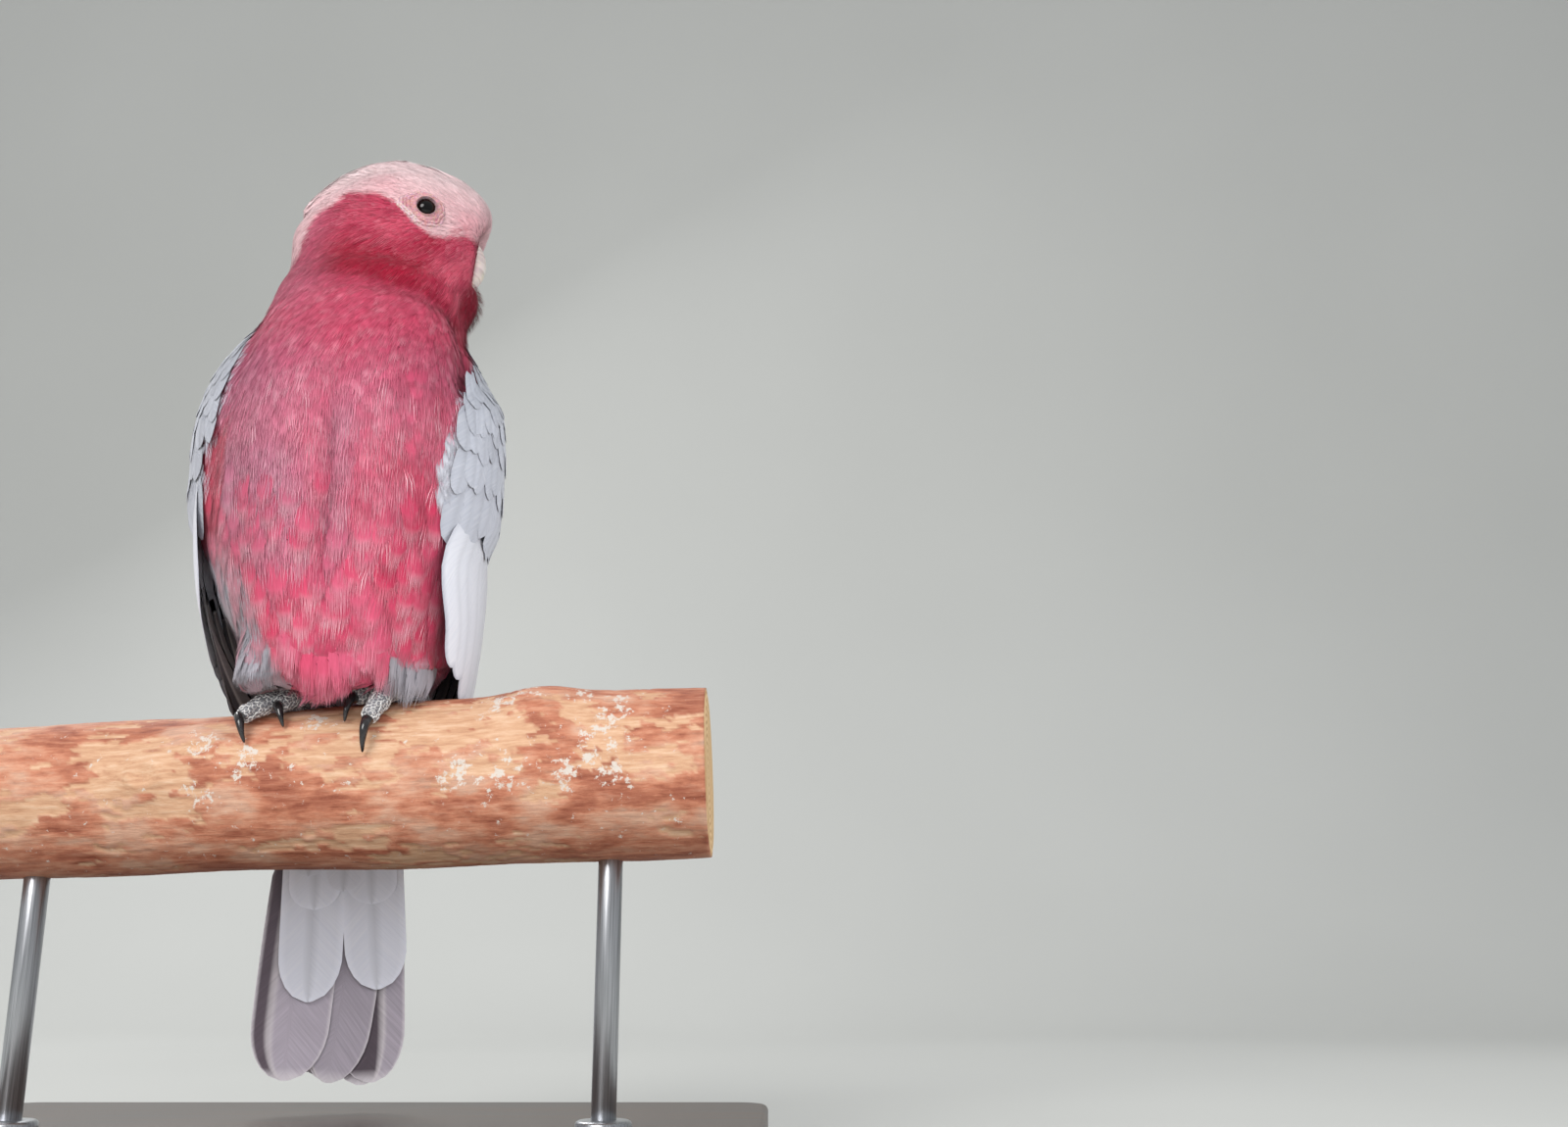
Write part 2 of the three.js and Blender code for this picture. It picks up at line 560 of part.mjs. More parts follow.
// ---- The stand: a flat base with two short rods into the perch --------------------------------------
function roundedPlate({ length, depth, thickness, corner, bevel }) {
  const [x, y, r] = [length / 2 - bevel, depth / 2 - bevel, corner - bevel];
  const outline = new THREE.Shape();
  outline.absarc(x - r, y - r, r, 0, Math.PI / 2);
  outline.absarc(-x + r, y - r, r, Math.PI / 2, Math.PI);
  outline.absarc(-x + r, -y + r, r, Math.PI, 1.5 * Math.PI);
  outline.absarc(x - r, -y + r, r, 1.5 * Math.PI, 2 * Math.PI);
  const bevels = { bevelThickness: bevel, bevelSize: bevel, bevelSegments: 1, curveSegments: 2 };
  const plate = new THREE.ExtrudeGeometry(outline, { depth: thickness - 2 * bevel, ...bevels });
  return plate.translate(0, 0, bevel);
}
place(stand, "stand_base", roundedPlate(BASE), WOOD);

function upright(radius, height, x, z) {
  const rod = new THREE.CylinderGeometry(radius, radius, height, 12).rotateX(rad(90));
  return rod.translate(x, PERCH.y, z + height / 2);
}
const toBranch = branch.matrix.clone().invert();
const rodFoot = BASE.thickness + GAP;
const sockets = [];
for (const [name, side] of [["left", 1], ["right", -1]]) {
  const x = (side * ROD.spacing) / 2;
  const underside = PERCH_AXIS - PERCH.radius + x * Math.sin(rad(PERCH.tiltDeg));
  const height = underside + ROD.socket - rodFoot;
  place(stand, `stand_rod_${name}`, upright(ROD.radius, height, x, rodFoot), STEEL);
  sockets.push(solid(upright(ROD.radius + GAP, height + GAP, x, rodFoot), toBranch));
  const collar = solid(upright(ROD.collarRadius, ROD.collarHeight, x, rodFoot));
  place(stand, `stand_collar_${name}`, cut(collar, solid(upright(ROD.radius + GAP, height, x, 0))), STEEL);
}
place(branch, "perch", cut(solid(perchLog()), ...sockets), BARK);

// ---- The trunk, parted into its regions by thin cuts ------------------------------------------------
bird.position.set(BIRD.x, PERCH.y, PERCH_TOP);
bird.rotation.z = rad(BIRD.yawDeg);
bird.updateMatrix();
const branchInBird = bird.matrix.clone().invert().multiply(branch.matrix);
const toBird = (body) => solid(geometryOf(body), branchInBird);
// The flesh settles on the toes, so it clears the perch by their height.
const SETTLE = 10.8;
const clearOf = [headInBird, solid(perchLog(SETTLE, 3, 12), branchInBird), ...footTools.map(toBird)];

// Each thigh is a feathered bulge low on the flank, round the top of the shank.
const THIGH = { x: 23, shift: 1, y: -9, z: 11, size: [13, 21, 13], tilt: 10 };
const thigh = (side, out = 0) => {
  const [w, d, h] = THIGH.size.map((s) => s + out);
  const shape = new THREE.SphereGeometry(1, 10, 7).scale(w, d, h).rotateY(side * rad(THIGH.tilt));
  return solid(shape.translate(THIGH.shift + side * THIGH.x, THIGH.y, THIGH.z));
};

// Cuts from the neck down: where each crosses the body's axis, and its slope from front to back.
const CUTS = [
  { above: "neck", z: 139, slope: 6 },
  { above: "breast", z: 62, slope: 3 },
  { above: "belly", z: 2, slope: 32 },
];
let rest = cut(trunkWhole, ...clearOf, thigh(1, GAP), thigh(-1, GAP));
for (const { above, z, slope } of CUTS) {
  place(bird, above, cut(rest, slabBelow(0, z + GAP / 2, slope)), ROSE);
  rest = rest.intersect(slabBelow(0, z - GAP / 2, slope));
}
place(bird, "rump", rest, PALE_GREY);
for (const [name, side] of [["left", 1], ["right", -1]])
  place(bird, `thigh_${name}`, cut(thigh(side), ...clearOf.slice(1)), PALE_GREY);

bird.add(head);
const galah = new THREE.Group();
galah.add(stand, branch, bird);

export default galah;
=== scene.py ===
import math

import bmesh
import bpy
import numpy as np
from mathutils import Matrix, Vector
from mathutils.bvhtree import BVHTree
from mathutils.kdtree import KDTree


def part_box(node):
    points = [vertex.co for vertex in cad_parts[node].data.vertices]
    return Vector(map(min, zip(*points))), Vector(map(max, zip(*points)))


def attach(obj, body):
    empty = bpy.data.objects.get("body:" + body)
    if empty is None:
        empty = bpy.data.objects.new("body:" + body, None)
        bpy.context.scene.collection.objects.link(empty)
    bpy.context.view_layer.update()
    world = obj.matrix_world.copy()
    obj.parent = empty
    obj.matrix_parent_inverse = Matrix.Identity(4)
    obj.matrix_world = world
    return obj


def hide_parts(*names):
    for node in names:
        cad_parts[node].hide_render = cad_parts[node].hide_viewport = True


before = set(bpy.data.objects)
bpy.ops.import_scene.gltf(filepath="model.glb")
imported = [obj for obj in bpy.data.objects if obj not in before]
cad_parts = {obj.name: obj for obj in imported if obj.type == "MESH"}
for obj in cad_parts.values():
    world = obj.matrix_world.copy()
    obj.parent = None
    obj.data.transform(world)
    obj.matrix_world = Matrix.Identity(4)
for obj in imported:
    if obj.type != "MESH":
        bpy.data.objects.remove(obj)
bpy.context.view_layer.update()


# ---- The room ---------------------------------------------------------------------------------------
# A pale studio floor that sweeps up into a backdrop, five soft lights and the camera, which stands low
# in front of the perch and looks a little up at the bird.
def plain_mesh(name, points, faces):
    mesh = bpy.data.meshes.new(name)
    mesh.from_pydata([tuple(p) for p in points], [], [tuple(f) for f in faces])
    mesh.update()
    mesh.polygons.foreach_set("use_smooth", [True] * len(faces))
    return mesh


def placed(name, mesh, finish):
    piece = bpy.data.objects.new(name, mesh)
    bpy.context.scene.collection.objects.link(piece)
    piece.data.materials.append(finish.material)
    return piece


class Finish:
    """A material on the plain shader. Each call adds one node, linked to the nodes or values given."""

    def __init__(self, name, roughness=0.5, **sockets):
        self.material = bpy.data.materials.new(name)
        self.material.use_nodes = True
        self.tree = self.material.node_tree
        self.shader = self.tree.nodes["Principled BSDF"]
        for socket, value in {"Roughness": roughness, **sockets}.items():
            self.shader.inputs[socket.replace("_", " ")].default_value = value

    def give(self, value, socket):
        if isinstance(value, bpy.types.Node):
            value = value.outputs[0]
        if isinstance(value, bpy.types.NodeSocket):
            self.tree.links.new(value, socket)
        else:
            socket.default_value = value

    def add(self, kind, inputs=(), **settings):
        node = self.tree.nodes.new("ShaderNode" + kind)
        for key, value in settings.items():
            setattr(node, key, value)
        for key, value in dict(inputs).items():
            self.give(value, node.inputs[key])
        return node

    def place(self):
        return self.add("TexCoord").outputs["Object"]

    def attribute(self, name):
        return self.add("Attribute", attribute_name=name)

    def noise(self, vector, scale, detail=2.0, roughness=0.5, **more):
        return self.add(
            "TexNoise", {"Vector": vector, "Scale": scale, "Detail": detail, "Roughness": roughness, **more}
        )

    def stretched(self, vector, scale):
        return self.add("Mapping", {"Vector": vector, "Scale": scale})

    def sum(self, kind, *values):
        return self.add("Math", dict(enumerate(values)), operation=kind)

    def mix(self, share, a, b, kind="MIX"):
        return self.add("Mix", {"Factor": share, "A": a, "B": b}, data_type="RGBA", blend_type=kind).outputs[2]

    def ramp(self, factor, *stops, read=None):
        """Colours along a factor; each stop is its place and its display colour, 0 to 255."""
        node = self.add("ValToRGB", {"Fac": factor})
        elements = node.color_ramp.elements
        while len(elements) < len(stops):
            elements.new(0.5)
        for element, (place, *color) in zip(elements, stops):
            element.position, element.color = place, (*(read or linear)(*color), 1)
        return node

    def color(self, value):
        self.give(value, self.shader.inputs["Base Color"])

    def rough(self, factor, low, high):
        spread = self.add("MapRange", {"Value": factor, "To Min": low, "To Max": high})
        self.give(spread, self.shader.inputs["Roughness"])

    def bump(self, height, strength, distance):
        raised = self.add("Bump", {"Height": height, "Strength": strength, "Distance": distance})
        self.give(raised, self.shader.inputs["Normal"])


def linear(red, green, blue):
    """Display values from 0 to 255 as linear light."""
    return tuple(((c / 255 + 0.055) / 1.055) ** 2.4 if c > 10 else c / 255 / 12.92 for c in (red, green, blue))


paper = Finish("studio_paper", 0.9)
paper.color(paper.ramp(paper.noise(paper.place(), 1.5), (0.3, 198, 199, 196), (0.7, 204, 205, 202)))
turn = [math.radians(a) for a in range(0, 91, 6)]
sweep = [(-4.0, 0.0), (-1.0, 0.0), (0.9, 0.0)]
sweep += [(0.9 + 0.7 * math.sin(a), 0.7 - 0.7 * math.cos(a)) for a in turn[1:]] + [(1.6, 4.0)]
wide = [(x, y, z) for y, z in sweep for x in (-4.5, 4.5)]
strips = [(2 * i, 2 * i + 1, 2 * i + 3, 2 * i + 2) for i in range(len(sweep) - 1)]
placed("backdrop", plain_mesh("backdrop", wide, strips), paper)


def softbox(name, place, aim, size, watts, color=(1, 1, 1), mirrored=True):
    data = bpy.data.lights.new(name, "AREA")
    data.shape, data.size, data.energy, data.color = "DISK", size, watts, color
    lamp = bpy.data.objects.new(name, data)
    lamp.location = place
    lamp.visible_glossy = mirrored
    lamp.rotation_euler = (Vector(aim) - Vector(place)).to_track_quat("-Z", "Y").to_euler()
    bpy.context.scene.collection.objects.link(lamp)


BREAST, TAIL = (0, -0.02, 0.24), (0, 0.03, 0.05)
softbox("key", (-0.55, -1.25, 1.05), BREAST, 0.9, 19.0, (1.0, 0.985, 0.97))
softbox("fill", (1.3, -0.9, 0.55), BREAST, 1.1, 6.0, (0.95, 0.975, 1.0), mirrored=False)
softbox("low", (0.35, -1.1, 0.3), TAIL, 0.5, 3.6, mirrored=False)
softbox("side", (1.15, -0.3, 0.5), BREAST, 0.6, 1.6, mirrored=False)
softbox("back", (-0.7, 1.0, 1.3), BREAST, 0.9, 10.0)
world = bpy.data.worlds.new("room")
world.use_nodes = True
sky = world.node_tree.nodes["Background"].inputs
sky["Color"].default_value, sky["Strength"].default_value = (0.86, 0.88, 0.9, 1), 0.55
bpy.context.scene.world = world
bpy.context.scene.view_settings.view_transform = "Standard"

camera_data = bpy.data.cameras.new("camera")
camera_data.lens, camera_data.sensor_width, camera_data.clip_start = 35, 36, 0.02
camera = bpy.data.objects.new("camera", camera_data)
camera.location = (0.151, -0.524, 0.0678)
camera.rotation_euler = (math.radians(90 + 14.5), 0, 0)
bpy.context.scene.collection.objects.link(camera)
bpy.context.scene.camera = camera


# ---- Shape of the bird -------------------------------------------------------------------------------
# The body is measured in millimetres in the bird's own frame: z = 0 at the perch's top, breast towards
# -Y. Its sections run from the nape to the tail coverts, and the wings fold over the same sections.
BIRD = Matrix.Translation((-2, -14, 149.5)) @ Matrix.Rotation(math.radians(12), 4, "Z")
HEAD = Matrix.Translation((9.6, -5, 169)) @ Matrix.Rotation(math.radians(94), 4, "Z")
BIRD_TURN, BIRD_PLACE = np.array(BIRD.to_3x3()), np.array(BIRD.to_translation())
HEAD_TURN, HEAD_PLACE = np.array(HEAD.to_3x3()), np.array(HEAD.to_translation())


def to_world(points):
    return (np.asarray(points) @ BIRD_TURN.T + BIRD_PLACE) / 1000


def to_bird(points):
    return (np.asarray(points) * 1000 - BIRD_PLACE) @ BIRD_TURN


def in_head(points):
    return (np.asarray(points) - HEAD_PLACE) @ HEAD_TURN


def from_head(points):
    return np.asarray(points) @ HEAD_TURN.T + HEAD_PLACE


def smooth(x, low, high):
    s = np.clip((np.asarray(x, float) - low) / (high - low), 0, 1)
    return s * s * (3 - 2 * s)


def mix(a, b, share):
    return a + (b - a) * share


def unit(v):
    return v / np.maximum(np.linalg.norm(v, axis=-1, keepdims=True), 1e-9)


def hump(*offsets):
    """1 where every offset is 0, fading to 0 round it."""
    return np.exp(-sum(o**2 for o in offsets))


def through(points, t):
    """A centripetal Catmull-Rom curve through points, at each t from 0 to 1."""
    points = np.asarray(points, float)
    last = len(points) - 1
    p = np.clip(np.asarray(t, float), 0, 1) * last
    i = np.minimum(p.astype(int), last - 1)
    w = (p - i)[..., None]
    padded = np.vstack([2 * points[0] - points[1], points, 2 * points[-1] - points[-2]])
    x0, x1, x2, x3 = (padded[i + k] for k in range(4))
    gap = [
        np.maximum(np.linalg.norm(b - a, axis=-1, keepdims=True), 1e-4) ** 0.5
        for a, b in ((x0, x1), (x1, x2), (x2, x3))
    ]
    t1 = ((x1 - x0) / gap[0] - (x2 - x0) / (gap[0] + gap[1]) + (x2 - x1) / gap[1]) * gap[1]
    t2 = ((x2 - x1) / gap[1] - (x3 - x1) / (gap[1] + gap[2]) + (x3 - x2) / gap[2]) * gap[1]
    return x1 + t1 * w + (-3 * x1 + 3 * x2 - 2 * t1 - t2) * w**2 + (2 * x1 - 2 * x2 + t1 + t2) * w**3


# name: front point, back point, half width, half width over the folded wings, shift to the left
SECTIONS = {
    "nape": ((-17, 163), (17, 166), 20, 20, 8),
    "throat": ((-32, 152), (29, 156), 32, 32, 6.5),
    "neck": ((-42, 136), (38, 140), 34, 34, 3.5),
    "shoulders": ((-49, 114), (42, 120), 40.2, 40.2, 2.2),
    "breast": ((-52, 88), (46, 94), 44.8, 44.8, 1),
    "upper_belly": ((-50, 60), (48, 66), 45, 45, 0.5),
    "belly": ((-45, 34), (49, 40), 41.5, 43.6, 1.8),
    "thighs": ((-38, 11), (49, 20), 36, 40.2, 3.5),
    "vent": ((-22, -1), (49, 2), 28, 37.3, 4),
    "tail_root": ((8, 1), (51, -12), 23, 34, 3.5),
    "rump": ((30, -12), (55, -26), 21, 29, 3.5),
    "coverts": ((41, -34), (59, -42), 18, 25, 4),
    "coverts_end": ((51, -54), (61, -58), 14, 21, 5),
}
FRONT_LINE = [(wing, *front) for front, back, half, wing, shift in SECTIONS.values()]
BACK_LINE = [(shift, *back) for front, back, half, wing, shift in SECTIONS.values()]
FULLNESS = 2.15


def wing_surface(t, degrees, out=0.0):
    """A point over the folded wings: t runs down the body, degrees from the breast round the left side."""
    t, degrees, out = np.broadcast_arrays(*(np.asarray(v, float) for v in (t, degrees, out)))
    front, back = through(FRONT_LINE, t), through(BACK_LINE, t)
    half, shift = front[..., 0] + out, back[..., 0]
    front, back = front[..., 1:], back[..., 1:]
    middle = (front + back) / 2
    reach = np.linalg.norm(front - back, axis=-1) / 2
    angle = np.radians(degrees)
    bulge = lambda v: np.sign(v) * np.abs(v) ** (2 / FULLNESS)
    yz = middle + unit(front - middle) * ((reach + out) * bulge(np.cos(angle)))[..., None]
    return np.concatenate([(shift + half * bulge(np.sin(angle)))[..., None], yz], axis=-1)


def along(values, share):
    place = np.clip(np.asarray(share, float), 0, 1 - 1e-6) * (len(values) - 1)
    i = place.astype(int)
    values = np.asarray(values, float)
    return mix(values[i], values[i + 1], smooth(place - i, 0, 1))


# ---- Skin --------------------------------------------------------------------------------------------
# One unbroken skin over head, neck, trunk, thighs and the folded arms. It is the solids of flesh run
# together, smoothed, and drawn in by the depth of the plumage that stands on it.
FLESH = ["crown", "cheeks", "neck", "breast", "belly", "rump", "thigh_left", "thigh_right"]
WING_SPAN = (1 / 6 + 0.005, 0.45)  # t at the top and the bottom of the coverts
WING_LEAD = {1: [88, 82, 52, 44, 43], -1: [82, 66, 63, 71, 74]}


def down_arm(t):
    """The share of the way down the coverts."""
    return (t - WING_SPAN[0]) / (WING_SPAN[1] - WING_SPAN[0])


def arm_height(share, across):
    rounding = np.minimum(1, 0.1 + 4 * across) ** 0.6 * (1 - 0.9 * across**3)
    full = 8.9 * smooth(share, -0.06, 0.4) * rounding
    return full * (1 - 0.45 * smooth(share, 0.86, 1.0))


def merged_copy(names):
    whole = bmesh.new()
    for name in names:
        part = bmesh.new()
        part.from_mesh(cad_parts[name].data)
        bmesh.ops.remove_doubles(part, verts=part.verts, dist=1e-5)
        part.normal_update()
        for vertex in part.verts:
            vertex.co += vertex.normal * 0.00035
        held = bpy.data.meshes.new("held")
        part.to_mesh(held)
        part.free()
        whole.from_mesh(held)
        bpy.data.meshes.remove(held)
    return whole


flesh = merged_copy(FLESH + ["crest"])
for side in (1, -1):
    share, across = np.meshgrid(np.linspace(0, 1.12, 26), np.linspace(0, 1, 22), indexing="ij")
    t = mix(*WING_SPAN, share)
    lead = along(WING_LEAD[side], share)
    degrees = side * mix(lead, 179.3, across)
    fade = 1 - smooth(share, 1.0, 1.12)
    high = wing_surface(t, degrees, arm_height(share, across) * fade - 0.2)
    low = wing_surface(t, degrees, -6.0)
    rings = np.concatenate([high, low[:, ::-1]], axis=1)
    rows, sides = rings.shape[:2]
    corners = [flesh.verts.new(p) for p in to_world(rings.reshape(-1, 3))]
    at = lambda i, j: corners[i * sides + j % sides]
    for i in range(rows - 1):
        for j in range(sides):
            flesh.faces.new((at(i, j), at(i, j + 1), at(i + 1, j + 1), at(i + 1, j)))
    for i in (0, rows - 1):
        for j in range(sides // 2 - 1):
            flesh.faces.new((at(i, j), at(i, j + 1), at(i, sides - 2 - j), at(i, sides - 1 - j)))
    bmesh.ops.recalc_face_normals(flesh, faces=flesh.faces[-((rows - 1) * sides + sides - 2):])
flesh_mesh = bpy.data.meshes.new("flesh")
flesh.to_mesh(flesh_mesh)
flesh.free()
flesh_object = bpy.data.objects.new("flesh", flesh_mesh)
bpy.context.scene.collection.objects.link(flesh_object)
remesh = flesh_object.modifiers.new("one_skin", "REMESH")
remesh.mode = "VOXEL"
remesh.voxel_size = 0.0013
settle = flesh_object.modifiers.new("soften", "SMOOTH")
settle.factor = 0.5
settle.iterations = 26
skin_mesh = bpy.data.meshes.new_from_object(flesh_object.evaluated_get(bpy.context.evaluated_depsgraph_get()))
bpy.data.objects.remove(flesh_object)
skin_mesh.name = "skin"


def shape_of(mesh):
    """Vertices and their normals in the bird's frame, and the triangles."""
    def read(items, key, kind):
        values = np.empty(len(items) * 3, kind)
        items.foreach_get(key, values)
        return values.reshape(-1, 3)

    mesh.calc_loop_triangles()
    normals = read(mesh.vertex_normals, "vector", np.float32) @ BIRD_TURN
    return to_bird(read(mesh.vertices, "co", np.float32)), normals, read(
        mesh.loop_triangles, "vertices", np.int32
    )


EYE = np.array([20.9, -10.6, 4.2])  # in the head's frame, mirrored for the right eye
BILL_ROOT = np.array([0, -33, -1])
# how far the bare skin reaches from the eye: forward is 0 degrees, up is 90, in mm
EYE_SKIN = (
    (0, 45, 90, 135, 165, 180, 200, 225, 250, 270, 300, 330, 360),
    (7.0, 6.8, 7.0, 7.4, 10.2, 10.6, 7.6, 6.8, 7.2, 7.8, 8.2, 7.8, 7.0),
)


def facing(h):
    """Distances from the nearer eye and from the root of the bill."""
    eye = np.linalg.norm((h - EYE * np.stack([np.sign(h[:, 0]), np.ones(len(h)), np.ones(len(h))], 1)), axis=1)
    return eye, np.linalg.norm((h - BILL_ROOT) * (0.7, 1, 0.8), axis=1)


def under_cheek(h):
    """Height above the line where the puffed feathers of the face end over the neck."""
    return h[:, 2] - np.interp(
        h[:, 1], (-26, -24, -18, -10, 0, 10, 20, 34), (-37, -33, -29.5, -27, -27.5, -25.5, -24, -23)
    )


def coat_depth(points):
    h = in_head(points)
    eye, bill = facing(h)
    depth = mix(1.0, 1.8, smooth(-points[:, 2], -158, -120))
    depth = mix(depth, 1.3, smooth(-points[:, 2], -6, 20))
    face = np.minimum(smooth(eye, 7, 16), smooth(bill, 8, 20))
    return mix(0.75, depth, np.where(points[:, 2] > 128, face, 1))


skin_points, skin_normals, skin_triangles = shape_of(skin_mesh)
skin_points = skin_points - skin_normals * coat_depth(skin_points)[:, None]
h = in_head(skin_points)
hollow = 5.5 * hump(h[:, 0] / 9) * np.exp(-(((h[:, 2] + 4.5) / 12.0) ** 4)) * smooth(-h[:, 1], 20, 29)
chin = smooth(-h[:, 2], 14, 18) * (1 - smooth(np.abs(h[:, 0]), 6, 11))
hollow += 1.9 * smooth(-h[:, 1], 20, 29) * smooth(-h[:, 2], -6, 0) * (1 - chin)
hollow -= 1.3 * hump(h[:, 0] / 7.5, (h[:, 2] + 22) / 5.5) * smooth(-h[:, 1], 15, 24)
below = under_cheek(h)
puff = 0.6 * hump((below - 5) / 4) - 1.5 * hump((below + 2) / np.where(below > -2, 2.2, 4.5))
puff *= mix(0.25, 1, smooth(-h[:, 1], -10, 4))
puff *= smooth(skin_points[:, 2], 122, 130) * (1 - smooth(h[:, 1], 22, 32)) * (
    1 - 0.6 * smooth(-h[:, 1], 22, 27)
)
skin_points = skin_points + skin_normals * puff[:, None]
skin_points = skin_points + (HEAD_TURN @ np.array([0, 1.0, 0])) * hollow[:, None]
x, y, z = skin_points.T
x = x + 0.5 * np.maximum(0, -x - 24) * smooth(-z, -34, -16) * smooth(z, -14, -4) * smooth(-y, -12, -2)
run = smooth(z, 8, 40) * (1 - smooth(z, 84, 122)) * smooth(-y, 0, 10)
y = y + 1.9 * hump((x + 1.5) / 2.6) * run
skin_points = np.stack([x, y, z], 1)
skin_mesh.vertices.foreach_set("co", to_world(skin_points).astype(np.float32).ravel())
skin_mesh.polygons.foreach_set("use_smooth", [True] * len(skin_mesh.polygons))
skin_mesh.update()
skin_points, skin_normals, skin_triangles = shape_of(skin_mesh)
skin_tree = BVHTree.FromPolygons(skin_points.tolist(), skin_triangles.tolist())


def on_skin(points):
    """The nearest place on the skin to each point, and the skin's smooth normal there."""
    found = [skin_tree.find_nearest(p) for p in points.tolist()]
    places = np.array([f[0] for f in found])
    faces = skin_triangles[[f[2] for f in found]]
    return places, unit(skin_normals[faces].mean(1))


# Where the folded wings lie: the nearest t and angle on the wings' surface.
chart_t, chart_degrees = np.meshgrid(np.linspace(0, 1, 90), np.linspace(-179, 179, 180), indexing="ij")
chart_points = wing_surface(chart_t, chart_degrees).reshape(-1, 3)


def tree_of(points):
    tree = KDTree(len(points))
    for i, p in enumerate(points.tolist()):
        tree.insert(p, i)
    tree.balance()
    return tree


chart_tree = tree_of(chart_points)


def on_chart(points):
    found = [chart_tree.find(p)[1] for p in points.tolist()]
    return chart_t.ravel()[found], chart_degrees.ravel()[found]


def wing_place(points):
    """Degrees round the body, the share of the way down the coverts, and where their edge lies there."""
    t, degrees = on_chart(points)
    share = down_arm(t)
    left, right = (along(WING_LEAD[side], np.clip(share, 0, 1)) for side in (1, -1))
    return degrees, share, np.where(degrees > 0, left, right)


# ---- Colours of the plumage ----------------------------------------------------------------------------
# A galah is rose pink below, with a deeper face and neck, a whitish pink cap and grey above. The same
# markings, and the shade painted into the breast's groove, under the cheeks and under the chin, are dyed into
# the skin and into each feather, by its place on the body.
def rgb(*value):
    return np.array(linear(*value))


def mottle(points, size, seed=0):
    """Soft lumps from 0 to 1, as wide as `size` millimetres."""
    p = points / size + seed * 17.3
    cell = np.floor(p).astype(np.int64)
    f = p - cell
    f = f * f * (3 - 2 * f)
    total = 0
    for corner in range(8):
        o = np.array([corner & 1, corner >> 1 & 1, corner >> 2 & 1])
        c = cell + o
        value = np.sin(c[:, 0] * 127.1 + c[:, 1] * 311.7 + c[:, 2] * 74.7 + seed * 13.1) * 43758.5453
        total += (value - np.floor(value)) * np.prod(np.where(o, f, 1 - f), axis=1)
    return total


# Height of the cap's lower edge in the head's frame, from the bill round to the nape.
CAP_EDGE = (
    (-34, -31, -29, -24.9, -19.8, -12.9, -6, -2.4, 6.1, 16, 19, 25.3, 28.1, 30.8, 35),
    (2, 0, -2.6, -3.2, -4.4, -5.7, -1.9, 3.3, 8, 8.4, 3.5, 0.5, -6.2, -13.9, -20),
)
CAP, CAP_PINK, CAP_BLUSH = rgb(222, 201, 202), rgb(222, 184, 188), rgb(218, 152, 162)
FACE, FACE_LIGHT, CRIMSON = rgb(176, 44, 76), rgb(216, 96, 118), rgb(160, 0, 44)
ROSE, ROSE_DEEP, MAUVE = rgb(199, 87, 115), rgb(194, 48, 84), rgb(176, 112, 136)
GREY, GREY_PALE, GREY_BACK = rgb(196, 197, 207), rgb(214, 216, 224), rgb(150, 151, 162)


def blend(color, other, share):
    return color + (other - color) * share[:, None]


